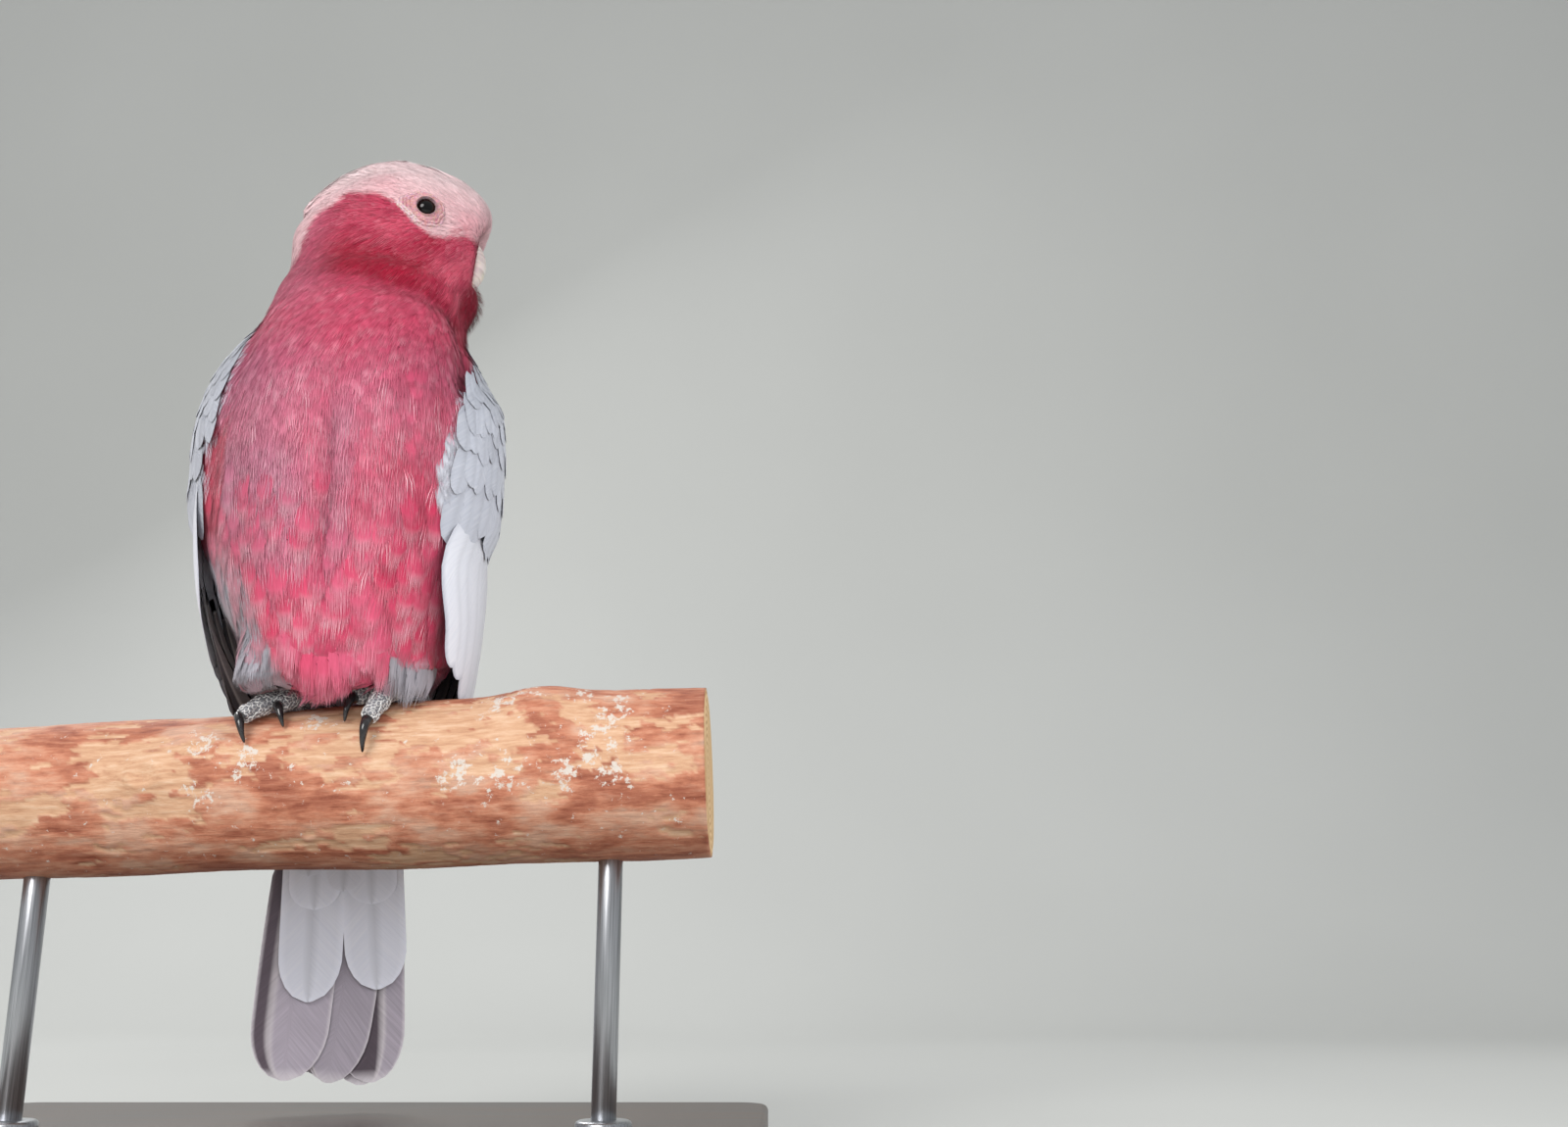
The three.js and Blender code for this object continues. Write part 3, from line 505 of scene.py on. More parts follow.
def plumage(p):
    """The colour of the coat at each place on the body."""
    h = in_head(p)
    degrees = on_chart(p)[1]
    n = len(p)
    left, rear, up = p.T
    ahead, high = -h[:, 1], h[:, 2]
    over = lambda low, top: smooth(up, low, top)
    under = lambda top, low: smooth(-up, -top, -low)
    lumps, patches, fine = mottle(p, 9.0), mottle(p, 26.0, 2), mottle(p, 3.5, 5)
    # breast and belly: rose, greyer to the right side and along the parting, deeper low down
    color = np.tile(ROSE, (n, 1))
    color = blend(color, ROSE_DEEP, 0.75 * smooth(lumps, 0.45, 0.8) * mix(0.5, 1, under(110, 40)))
    right = smooth(-left, -2, 30) * under(140, 100) * over(30, 70)
    parting = hump((left - 1.5) / 4) * under(110, 80) * over(20, 50)
    color = blend(
        color, MAUVE,
        np.clip(
            0.72 * right * smooth(patches, -0.5, 0.7) + 0.55 * parting + 0.35 * smooth(patches, 0.5, 0.8), 0,
            0.8,
        ),
    )
    # painted shade: a darker line along the groove that runs down the middle of the breast
    line = hump((left + 1.5) / 1.5) * under(104, 84) * over(12, 36) * smooth(-rear, 0, 10)
    color = blend(color, rgb(120, 52, 78), 0.55 * line)
    upper = over(95, 125)
    color = blend(color, ROSE_DEEP, 0.62 * upper * smooth(left, -25, 20))
    color = color * mix(
        1, np.array([0.87, 0.74, 0.84]), over(84, 112)[:, None]
    ) * mix(1, 1.16, under(50, 15))[:, None]
    # neck and face: a deep crimson band round the lower face, which ends in a line over the neck
    cheek_line = under_cheek(h)
    neck = over(110, 134)
    color = blend(color, mix(FACE, ROSE, 0.42), neck * 0.85)
    cheek = smooth(cheek_line, -1.0, 1.5) * over(122, 130)
    color = blend(color, FACE, cheek * 0.92)
    front_cheek = smooth(ahead, 6, 20) * cheek
    band = hump((cheek_line - 6) / 9.5) * over(118, 128) * (1 - 0.8 * front_cheek)
    color = blend(color, CRIMSON * 0.92, 0.97 * np.clip(1.25 * band, 0, 1) * smooth(lumps, -0.3, 0.3))
    # painted shade: a darker crimson along the groove under the edge of the puffed cheeks
    color = blend(
        color, CRIMSON * 0.8, 0.8 * hump((cheek_line + 1.2) / 1.8) * over(122, 130) * smooth(lumps, 0.1, 0.5)
    )
    color = blend(color, FACE_LIGHT, 0.62 * front_cheek * smooth(-high, 3, 10) * smooth(fine + lumps, 0.6, 1.2))
    upper_cheek = hump((h[:, 1] - 2) / 12, (high + 3) / 6) * over(146, 156)
    color = blend(color, FACE_LIGHT, 0.5 * upper_cheek * smooth(lumps, 0.2, 0.7))
    corner = hump((h[:, 1] + 13) / 5, (high + 9) / 3.5)
    color = blend(color, CRIMSON, 0.75 * corner * cheek)
    nape = smooth(h[:, 1], 14, 30) * over(120, 140)
    color = blend(color, mix(ROSE, MAUVE, 0.5), 0.6 * nape)
    # grey back, thighs, vent and rump
    back = smooth(np.abs(degrees), 118, 140) * under(138, 122)
    color = blend(color, GREY_BACK, back)
    rump = under(25, 0) * smooth(rear, 5, 25)
    color = blend(color, GREY_PALE, rump)
    right_thigh = smooth(-left - 13 - 0.46 * (up - 7), -1.2, 1.6) * under(44, 34) * (left < 0)
    left_thigh = smooth(left, 17, 21) * under(14, 8)
    color = blend(color, GREY * 0.62, 0.96 * np.maximum(right_thigh, left_thigh))
    color = blend(
        color, rgb(186, 52, 74),
        0.75 * smooth(-degrees, 54, 60) * under(92, 84) * over(44, 56) * smooth(degrees, -96, -88),
    )
    flank = smooth(-degrees, 50, 58) * under(54, 42) * smooth(degrees, -130, -110)
    color = blend(color, GREY * 0.8, 0.9 * flank)
    vent = under(6, -6) * smooth(rear, -20, -8)
    color = blend(color, GREY_PALE, vent)
    # cap
    edge = np.interp(h[:, 1], *CAP_EDGE) + 1.8 * (lumps - 0.5) + 1.4 * (mottle(p, 2.0, 8) - 0.5)
    cap = smooth(high - edge, -1.3, 1.3) * over(140, 150)
    pale = blend(np.tile(CAP, (n, 1)), CAP_PINK, np.clip(smooth(-high, -22, -6) + 0.4 * (patches - 0.4), 0, 1))
    lores = smooth(ahead, 16, 27) * smooth(-high, -12, 0)
    pale = blend(pale, CAP_BLUSH, 0.7 * lores * smooth(fine + lumps, 0.5, 1.2))
    behind = hump((h[:, 1] - 4) / 7, (high - 13) / 5)
    pale = blend(pale, CAP_BLUSH, 0.35 * behind)
    color = color + (pale - color) * cap[:, None]
    # painted shade: a darker crimson under the chin, beneath the bill and the cheeks
    chin = smooth(ahead, 15, 23) * smooth(-high, 14, 20) * (
        1 - smooth(np.abs(h[:, 0]), 11, 16)
    ) * over(132, 142)
    color = blend(color, CRIMSON * 0.7, 0.9 * chin)
    spots = smooth(mottle(p, 1.6, 11), 0.62, 0.72) * hump((h[:, 1] + 19) / 5, (high + 0.5) / 3) * over(140, 150)
    color = blend(color, CRIMSON, 0.85 * spots)
    return color * (0.94 + 0.12 * fine[:, None])


def dyed(mesh, name, colors):
    layer = mesh.color_attributes.new(name, "FLOAT_COLOR", "POINT")
    full = np.ones((len(colors), 4), np.float32)
    full[:, :3] = np.clip(colors, 0, 1)
    layer.data.foreach_set("color", full.ravel())


def fitted(name, mesh, finish, slot, *nodes):
    """Sets a finished piece in place and hides the solids it stands for."""
    piece = placed(name, mesh, finish)
    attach(piece, "root")
    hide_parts(*nodes)
    return piece


# painted shade: the skin takes the coat's colours at 0.7, darker where it shows between and under the feathers
dyed(skin_mesh, "dye_and_shade", plumage(skin_points) * 0.7)
skin_finish = Finish("skin", 0.7)
pores = skin_finish.noise(skin_finish.place(), 900.0, 4.0)
skin_finish.color(
    skin_finish.mix(0.35, skin_finish.attribute("dye_and_shade").outputs["Color"], pores.outputs["Color"], "SOFT_LIGHT")
)
skin_finish.bump(pores, 0.4, 0.0003)
fitted("skin", skin_mesh, skin_finish, "rose_plumage", *FLESH, "wing_left_coverts", "wing_right_coverts")


# ---- Body feathers -------------------------------------------------------------------------------------
# Thousands of soft feathers stand on the skin and lie over one another down the body, backwards from the
# bill on the head. Each is a thin vane with a frayed tip; they are smallest round the eyes and the bill.
def scattered(seed, count, gaps):
    """Places spread evenly on the skin, `gaps` mm apart by place, and none where the gap is 0."""
    chance = np.random.default_rng(seed)
    corners = skin_points[skin_triangles]
    area = np.linalg.norm(np.cross(corners[:, 1] - corners[:, 0], corners[:, 2] - corners[:, 0]), axis=1)
    area = area * (gaps(corners.mean(1)) > 0)
    face = chance.choice(len(area), size=count, p=area / area.sum())
    a, b = chance.random((2, count))
    a, b = np.where(a + b > 1, 1 - a, a), np.where(a + b > 1, 1 - b, b)
    corner = corners[face]
    points = corner[:, 0] + a[:, None] * (
        corner[:, 1] - corner[:, 0]
    ) + b[:, None] * (corner[:, 2] - corner[:, 0])
    gap = gaps(points)
    points, gap = points[gap > 0], gap[gap > 0]
    tree = tree_of(points)
    free = np.ones(len(points), bool)
    kept = []
    for i, (p, g) in enumerate(zip(points.tolist(), gap.tolist())):
        if free[i]:
            kept.append(i)
            for _, near, _ in tree.find_range(p, g):
                free[near] = False
    return points[kept]


HEAD_BACK = HEAD_TURN @ np.array([0, 1.0, 0])


def lie(points, normals):
    """The way the feathers point: back from the bill on the head, then down the body."""
    h = in_head(points)
    away = unit(h - BILL_ROOT - np.array([0, 4, 0]))
    away[:, 2] -= 0.45 * smooth(-h[:, 2], -6, 14)
    head = away @ HEAD_TURN.T
    down = np.zeros_like(points)
    down[:, 2] = -1
    down[:, 1] = 0.45 * smooth(-points[:, 2], -40, 10)
    down[:, 0] = -0.004 * points[:, 0] * smooth(-points[:, 2], -60, 0)
    sweep = smooth(points[:, 2], 92, 142)[:, None] * 0.8 * HEAD_BACK
    head_share = smooth(points[:, 2], 134, 152)[:, None]
    way = (down + sweep) * (1 - head_share) + unit(head) * head_share
    return unit(way - normals * np.sum(way * normals, axis=1, keepdims=True))


def vane(across, rows, teeth, tip_from=0.62, reach=0.38, roundness=0.14):
    """A feather of unit size: places along and across, its triangles and which places are frayed ends."""
    places, faces = [], []
    u = np.linspace(-1, 1, across)
    width = lambda s: math.sin(math.pi * min(0.5, 0.14 + 0.6 * s)) ** 0.8
    for s in rows:
        for v in u:
            places.append((s * tip_from - roundness * s * v * v, v * width(s * tip_from)))
    for i in range(len(rows) - 1):
        for j in range(across - 1):
            a = i * across + j
            faces += [(a, a + 1, a + across + 1), (a, a + across + 1, a + across)]
    last = (len(rows) - 1) * across
    fine = np.linspace(-1, 1, teeth + 1)
    start, per = len(places), teeth // (across - 1)
    for v in fine:
        places.append((tip_from + 0.06 - (roundness + 0.06) * v * v, v * (1 - 0.06 * abs(v))))
    for j in range(across - 1):
        a = last + j
        faces += [(a, start + j * per + k + 1, start + j * per + k) for k in range(per)]
        faces.append((a, a + 1, start + (j + 1) * per))
    ends = len(places)
    for k in range(teeth):
        v = (fine[k] + fine[k + 1]) / 2
        places.append((tip_from + 0.06 + reach - (roundness + 0.22) * v * v, v * 0.93))
        faces.append((start + k, start + k + 1, ends + k))
    frayed = np.zeros(len(places))
    frayed[ends:] = 1
    return np.array(places), np.array(faces), frayed


def strands(count, thickness, seed):
    """A loose tuft of unit size: tapering hairs side by side, each of three triangles."""
    chance = np.random.default_rng(seed)
    places, faces = [], []
    for v in np.linspace(-0.9, 0.9, count):
        start, end = 0.05 + 0.25 * chance.random(), 0.75 + 0.3 * chance.random()
        lean, k = 0.35 * chance.normal(), len(places)
        for share, wide in ((0, 0.6), (0.5, 1)):
            here = mix(start, end, share)
            places += [(here, v + lean * share - thickness * wide), (here, v + lean * share + thickness * wide)]
        places.append((end, v + lean))
        faces += [(k, k + 1, k + 3), (k, k + 3, k + 2), (k + 2, k + 3, k + 4)]
    return np.array(places), np.array(faces), np.zeros(len(places))


def joined_mesh(name, points, faces, shades, maps, soft):
    """Many like feathers as one mesh, with their colours and painted shade, their two UV maps and their soft
    normals.
    """
    mesh = bpy.data.meshes.new(name)
    mesh.vertices.add(len(points))
    mesh.vertices.foreach_set("co", to_world(points).astype(np.float32).ravel())
    mesh.loops.add(faces.size)
    mesh.loops.foreach_set("vertex_index", faces.astype(np.int32).ravel())
    mesh.polygons.add(len(faces))
    mesh.polygons.foreach_set("loop_start", np.arange(0, faces.size, faces.shape[1], dtype=np.int32))
    mesh.polygons.foreach_set("use_smooth", np.ones(len(faces), bool))
    mesh.update(calc_edges=True)
    dyed(mesh, "dye_and_shade", shades)
    for layer, values in zip(("OFBake", "vane"), maps):
        mesh.uv_layers.new(name=layer).data.foreach_set("uv", values[faces.ravel()].astype(np.float32).ravel())
    mesh.uv_layers.active = mesh.uv_layers["OFBake"]
    mesh.normals_split_custom_set_from_vertices((soft @ BIRD_TURN.T).tolist())
    return mesh


OVERHANG = 1.12  # the longest barbs reach past the feather's length


def feather_coat(
    name, nodes, roots, form, length, width, depth, seed, pale, rise=(0.05, 0.6), base=0.9, shift=None,
    wrap=True, hang=None, slot="rose_plumage", stray=0.12, tint=0.04, tip_at=(0.3, 1.0),
):
    """Lays one feather on each root, snapped to the skin along its length, and joins them in one mesh."""
    chance = np.random.default_rng(seed)
    n = len(roots)
    places, faces, frayed = form
    length, width, depth, pale = (
        np.broadcast_to(np.asarray(v, float), n) for v in (length, width, depth, pale)
    )
    centre, normal = on_skin(roots)
    way = lie(centre, normal)
    way = unit(way + np.cross(normal, way) * chance.normal(0, stray, n)[:, None])
    spine = [(centre, way, normal)]
    for step in np.diff(np.linspace(0, OVERHANG, 5)):
        loose = centre + way * (length * step)[:, None]
        ahead, normal = on_skin(loose)
        next_way = unit(0.55 * way + 0.45 * lie(ahead, normal))
        next_way = unit(next_way - normal * np.sum(next_way * normal, axis=1, keepdims=True))
        if hang is not None:
            ahead, normal, next_way = loose, spine[0][2], unit(mix(next_way, way, 0.7) + hang)
        centre, way = ahead, next_way
        spine.append((centre, way, normal))
    line, ways, normals = (np.array(part) for part in zip(*spine))
    s = np.repeat(places[None, :, 0], n, 0)
    u = np.repeat(places[None, :, 1], n, 0)
    s = s + frayed * (chance.random(s.shape) - 0.6) * 0.24
    u = u * (1 + 0.08 * chance.normal(size=(n, 1))) + frayed * chance.normal(0, 0.06, s.shape)
    at = np.clip(s / OVERHANG * 4, 0, 3.999)
    i = at.astype(int)
    w = (at - i)[..., None]
    feather = np.arange(n)[:, None]
    middle, direction, upright = (
        part[i, feather] * (1 - w) + part[i + 1, feather] * w for part in (line, ways, normals)
    )
    direction, upright = unit(direction), unit(upright)
    side = unit(np.cross(upright, direction))
    spread = u * width[:, None] / 2
    ground = middle + side * spread[..., None]
    if wrap and hang is None:
        ground, upright = (part.reshape(n, -1, 3) for part in on_skin(ground.reshape(-1, 3)))
    low, high = rise
    layer = chance.random((n, 1)) * 0.18
    lift = depth[:, None] * (low + (high - low) * np.clip(s, 0, 1.1) + layer * s - 0.10 * u**2 * s)
    points = ground + upright * lift[..., None]
    color = plumage(line[2])
    if shift is not None:
        color = shift(color, line[2])
    hue = 1 + tint * chance.normal(size=(n, 1))
    rosy = smooth(1 - color[:, 1] / color[:, 0], 0.15, 0.5)
    paler = np.clip(
        pale * chance.choice([0.45, 1.0, 1.8], n, p=[0.4, 0.35, 0.25]) * (0.45 + 0.55 * rosy), 0, 0.85
    )
    tip = (
        color + (blend(np.tile(rgb(226, 226, 234), (n, 1)), rgb(240, 205, 214), rosy) - color) * paler[:, None]
    ) * hue
    share = smooth(s, *tip_at)[..., None]
    shades = (color * base * hue)[:, None] * (1 - share) + tip[:, None] * share
    count = len(places)
    if not frayed.any():
        shades = shades * np.repeat(1 + 0.13 * chance.normal(size=(n, count // 5, 1)), 5, axis=1)
    a, b, c = (points[:, faces[:, k]] for k in range(3))
    if np.sum(np.cross(b - a, c - a) * upright[:, faces[:, 0]]) < 0:
        faces = faces[:, ::-1]
    flat = (faces[None] + np.arange(n)[:, None, None] * count).reshape(-1, 3)
    t, degrees = on_chart(roots)
    h = in_head(roots)
    on_head = roots[:, 2] > 145
    around = (np.where(on_head, np.degrees(np.arctan2(h[:, 0], -h[:, 1])), degrees) + 180) / 360
    up = np.where(on_head, 0.72 + 0.25 * np.clip((h[:, 2] + 35) / 70, 0, 1), 0.7 * (1 - t))
    patch = np.stack(
        [around[:, None] * 0.98 + 0.01 + 0.0015 * u, up[:, None] * 0.98 + 0.01 + 0.0015 * (2 * s - 1)], -1
    )
    own = np.stack([spread / 10 + chance.random((n, 1)) * 40, s * length[:, None] / 10], -1)
    # soft shading: each vane takes the lie of the coat under it, bowed a little across and tilted at random
    soft = unit(upright + 0.22 * u[..., None] * side + chance.normal(0, 0.07, (n, 1, 3)))
    maps = (patch.reshape(-1, 2), own.reshape(-1, 2))
    mesh = joined_mesh(name, points.reshape(-1, 3), flat, shades.reshape(-1, 3), maps, soft.reshape(-1, 3))
    fitted(name, mesh, down_finish, slot, *nodes)


def feather_finish(name, roughness, streaks, strength, **sockets):
    """Colour from the feather's dye and painted shade, streaked along its barbs, which also roughen the
    surface.
    """
    finish = Finish(name, roughness, **sockets)
    barbs = finish.noise(finish.stretched(finish.add("UVMap", uv_map="vane"), streaks), 1.0, 2.0, 0.6)
    grey = lambda *tone: tone
    tone = finish.ramp(barbs, (0.25, 0.3, 0.3, 0.3), (0.5, 0.5, 0.5, 0.5), (0.78, 0.8, 0.78, 0.79), read=grey)
    finish.color(finish.mix(strength, finish.attribute("dye_and_shade"), tone, "OVERLAY"))
    finish.bump(barbs, 0.35, 0.0004)
    finish.rough(barbs, roughness - 0.1, roughness + 0.1)
    return finish


SOFT = {"Sheen_Weight": 0.08, "Sheen_Roughness": 0.5, "Specular_IOR_Level": 0.2}
down_finish = feather_finish("soft_plumage", 0.75, (20.0, 1.4, 1.0), 0.4, **SOFT)


def wing_covered(points):
    """Where the folded wing's own feathers lie, so that no body feathers are wanted."""
    degrees, share, lead = wing_place(points)
    inside = (np.abs(degrees) > lead + 9 * (1 - smooth(share, 0.05, 0.35))) & (np.abs(degrees) < 140)
    return (share > 0.04) & (share < 1.05) & inside & (points[:, 2] < 140)


def bare_of(points):
    """The bare skin round the eyes and the place where the bill grows."""
    h = in_head(points)
    forward, up = EYE[1] - h[:, 1], h[:, 2] - EYE[2]
    eye = np.hypot(forward, up) < np.interp(np.degrees(np.arctan2(up, forward)) % 360, *EYE_SKIN) - 1.2
    bill = (np.abs(h[:, 0]) < 9.0) & (h[:, 1] < -20) & (h[:, 2] > -16.5) & (h[:, 2] < 6.0)
    return (eye & (np.abs(h[:, 0]) > 12)) | bill


def face_nearness(points):
    """0 beside an eye or the bill, rising to 1 away from them."""
    eye, bill = facing(in_head(points))
    return np.minimum(smooth(eye, 7, 19), smooth(bill, 8, 24))


def head_gap(points):
    gap = mix(mix(0.8, 1.45, face_nearness(points)), 2.0, smooth(-points[:, 2], -152, -140))
    return np.where((points[:, 2] < 140) | bare_of(points), 0, gap)


def head_hair_gap(points):
    return np.where((points[:, 2] < 138) | bare_of(points), 0, mix(0.85, 1.3, face_nearness(points)))


def crest_gap(points):
    h = in_head(points)
    long_band = (np.abs(h[:, 0]) < 11.5) & (h[:, 1] > -24) & (h[:, 1] < 24) & (h[:, 2] > 10)
    return np.where(long_band & (points[:, 2] > 150), 2.5, 0)


def body_gap(points):
    gap = mix(2.7, 2.1, smooth(points[:, 2], 90, 140))
    return np.where((points[:, 2] >= 142) | wing_covered(points), 0, gap)


def cover_gap(points):
    degrees = on_chart(points)[1]
    shown = (points[:, 2] < 112) & (points[:, 2] > 8) & (np.abs(degrees) < 95) & ~wing_covered(points)
    smooth_place = mottle(points, 13.0, 31) < mix(0.28, 0.8, smooth(points[:, 2], 52, 92))
    return np.where(shown & ~smooth_place, 3.6 + 3.6 * mottle(points, 2.0, 21), 0)


def hair_gap(points):
    gap = np.where(np.abs(on_chart(points)[1]) < 105, 2.2, 2.8)
    return np.where((points[:, 2] < 142) & ~wing_covered(points), gap, 0)


def deep_ground(color, points):
    return blend(
        color, ROSE_DEEP, 0.5 * smooth(-points[:, 2], -125, -60) * smooth(mottle(points, 14.0, 9), 0.3, 0.7)
    )


HEAD_NODES, TRUNK = ("crown", "cheeks"), ("neck", "breast", "belly", "rump", "thigh_left", "thigh_right")
roots = scattered(3, 70000, head_gap)
near, low_neck = face_nearness(roots), smooth(-roots[:, 2], -152, -140)
length, width = mix(mix(2.0, 6.0, near), 8.5, low_neck), mix(mix(1.0, 2.3, near), 3.0, low_neck)
feather_coat(
    "head_plumage", HEAD_NODES, roots, vane(3, (0, 0.5, 1), 4), length, width, coat_depth(roots), 5, 0.1,
    wrap=False,
)
roots = scattered(13, 90000, head_hair_gap)
near = face_nearness(roots)
pale = 0.14 * (1 - 0.8 * np.exp(-(((under_cheek(in_head(roots)) - 4) / 9) ** 4)))
length, width = mix(2.2, 7.0, near), mix(1.0, 1.8, near)
loose = {"base": 1.0, "wrap": False}
feather_coat(
    "head_fine_plumage", HEAD_NODES, roots, strands(4, 0.11, 1), length, width, coat_depth(roots), 6, pale,
    rise=(0.5, 0.85), stray=0.2, **loose,
)
roots = scattered(14, 20000, crest_gap)
form = vane(3, (0, 0.35, 0.7, 1), 8, 0.8, 0.2, 0.3)
feather_coat(
    "crest_feathers", ("crest",), roots, form, 15.0, 3.6, 1.1, 8, 0.05, rise=(0.3, 1.0), base=0.97,
    slot="pale_crown_plumage",
)

roots = scattered(4, 90000, body_gap)
share, degrees = smooth(-roots[:, 2], -142, -90), on_chart(roots)[1]
form, front = vane(5, (0, 0.5, 1), 12), np.abs(degrees) < 100
for label, chosen in (
    ("front_left", front & (degrees > 0)), ("front_right", front & (degrees <= 0)), ("back", ~front)
):
    where, low = roots[chosen], share[chosen]
    length, width, pale = mix(9.0, 13.5, low), mix(4.2, 6.6, low), mix(0.1, 0.22, low)
    feather_coat(
        "body_plumage_" + label, TRUNK, where, form, length, width, coat_depth(where), 7, pale, rise=(0.04, 0.5)
    )
roots = scattered(15, 30000, cover_gap)
share = smooth(-roots[:, 2], -112, -30)
form, depth = vane(7, (0, 0.4, 0.75, 1), 30, 0.6, 0.42), coat_depth(roots) * mix(0.75, 1, share)
length, width, pale = mix(11.0, 16.0, share), mix(4.6, 7.8, share), mix(0.12, 0.48, share)
feather_coat(
    "body_cover_plumage", TRUNK, roots, form, length, width, depth, 9, pale, rise=(0.35, 1.0), base=0.94,
    shift=deep_ground, stray=0.2, tip_at=(0.55, 1.0),
)
roots = scattered(16, 90000, hair_gap)
share = smooth(-roots[:, 2], -142, -60)
length, width, pale = mix(6.0, 9.0, share), mix(2.0, 3.2, share), mix(0.06, 0.34, share)
feather_coat(
    "body_fine_plumage", TRUNK, roots, strands(5, 0.07, 2), length, width, coat_depth(roots), 10, pale,
    rise=(0.3, 0.9), stray=0.18, tint=0.07, **loose,
)


# here and there a feather's pale bare shaft and its longest barbs stand out
def wisp_gap(points):
    shown = (points[:, 2] < 104) & (points[:, 2] > 14) & (np.abs(on_chart(points)[1]) < 62)
    return np.where(shown & ~wing_covered(points), 6.0 + 9.0 * mottle(points, 16.0, 41), 0)


roots = scattered(31, 30000, wisp_gap)
feather_coat(
    "body_wisp_plumage", TRUNK, roots, strands(3, 0.13, 6), 13.0, 1.7, coat_depth(roots), 32, 0.62,
    rise=(0.5, 1.05), base=1.1, wrap=False, stray=0.3, tip_at=(0.1, 0.7),
)


# a tuft of feathers puffs forward under the bill, dyed with the chin's painted shade
def chin_gap(points):
    h = in_head(points)
    return np.where((np.abs(h[:, 0]) < 9) & (h[:, 1] < -14) & (h[:, 2] < -15) & (h[:, 2] > -31), 1.3, 0)


roots = scattered(23, 60000, chin_gap)
forward = -0.3 * HEAD_BACK + np.array([0, 0, -0.3])
feather_coat(
    "chin_plumage", ("cheeks",), roots, strands(5, 0.09, 5), 5.5, 2.0, 1.2, 24, 0.02, rise=(0.3, 1.0),
    base=0.95, wrap=False, stray=0.2, hang=forward,
)

# the lowest feathers of the belly hang free in a ragged edge over the feet
HEM = ((-34, -24, -18, -13, -9, -5, -2, 3, 7, 12, 17, 20, 30), (4, 3, 5, 6, 2, -3, -5, -4, 1, 7, 4, -3, -3))


def over_hem(points):
    return points[:, 2] - np.interp(points[:, 0], *HEM)


def fringe_gap(points):
    drop = over_hem(points)
    return np.where(
        (drop < 20) & (drop > 4) & (np.abs(on_chart(points)[1]) < 80) & (points[:, 1] < -14), 2.5, 0
    )


roots = scattered(17, 30000, fringe_gap)
form, length = vane(5, (0, 0.5, 1), 16, 0.55, 0.45), np.clip(over_hem(roots), 5, 17)
feather_coat(
    "belly_hem_plumage", ("belly",), roots, form, length, 5.6, coat_depth(roots), 12, 0.3, rise=(0.1, 0.9),
    hang=np.array([0, 0.05, -0.25]), tip_at=(0.5, 1.0),
)


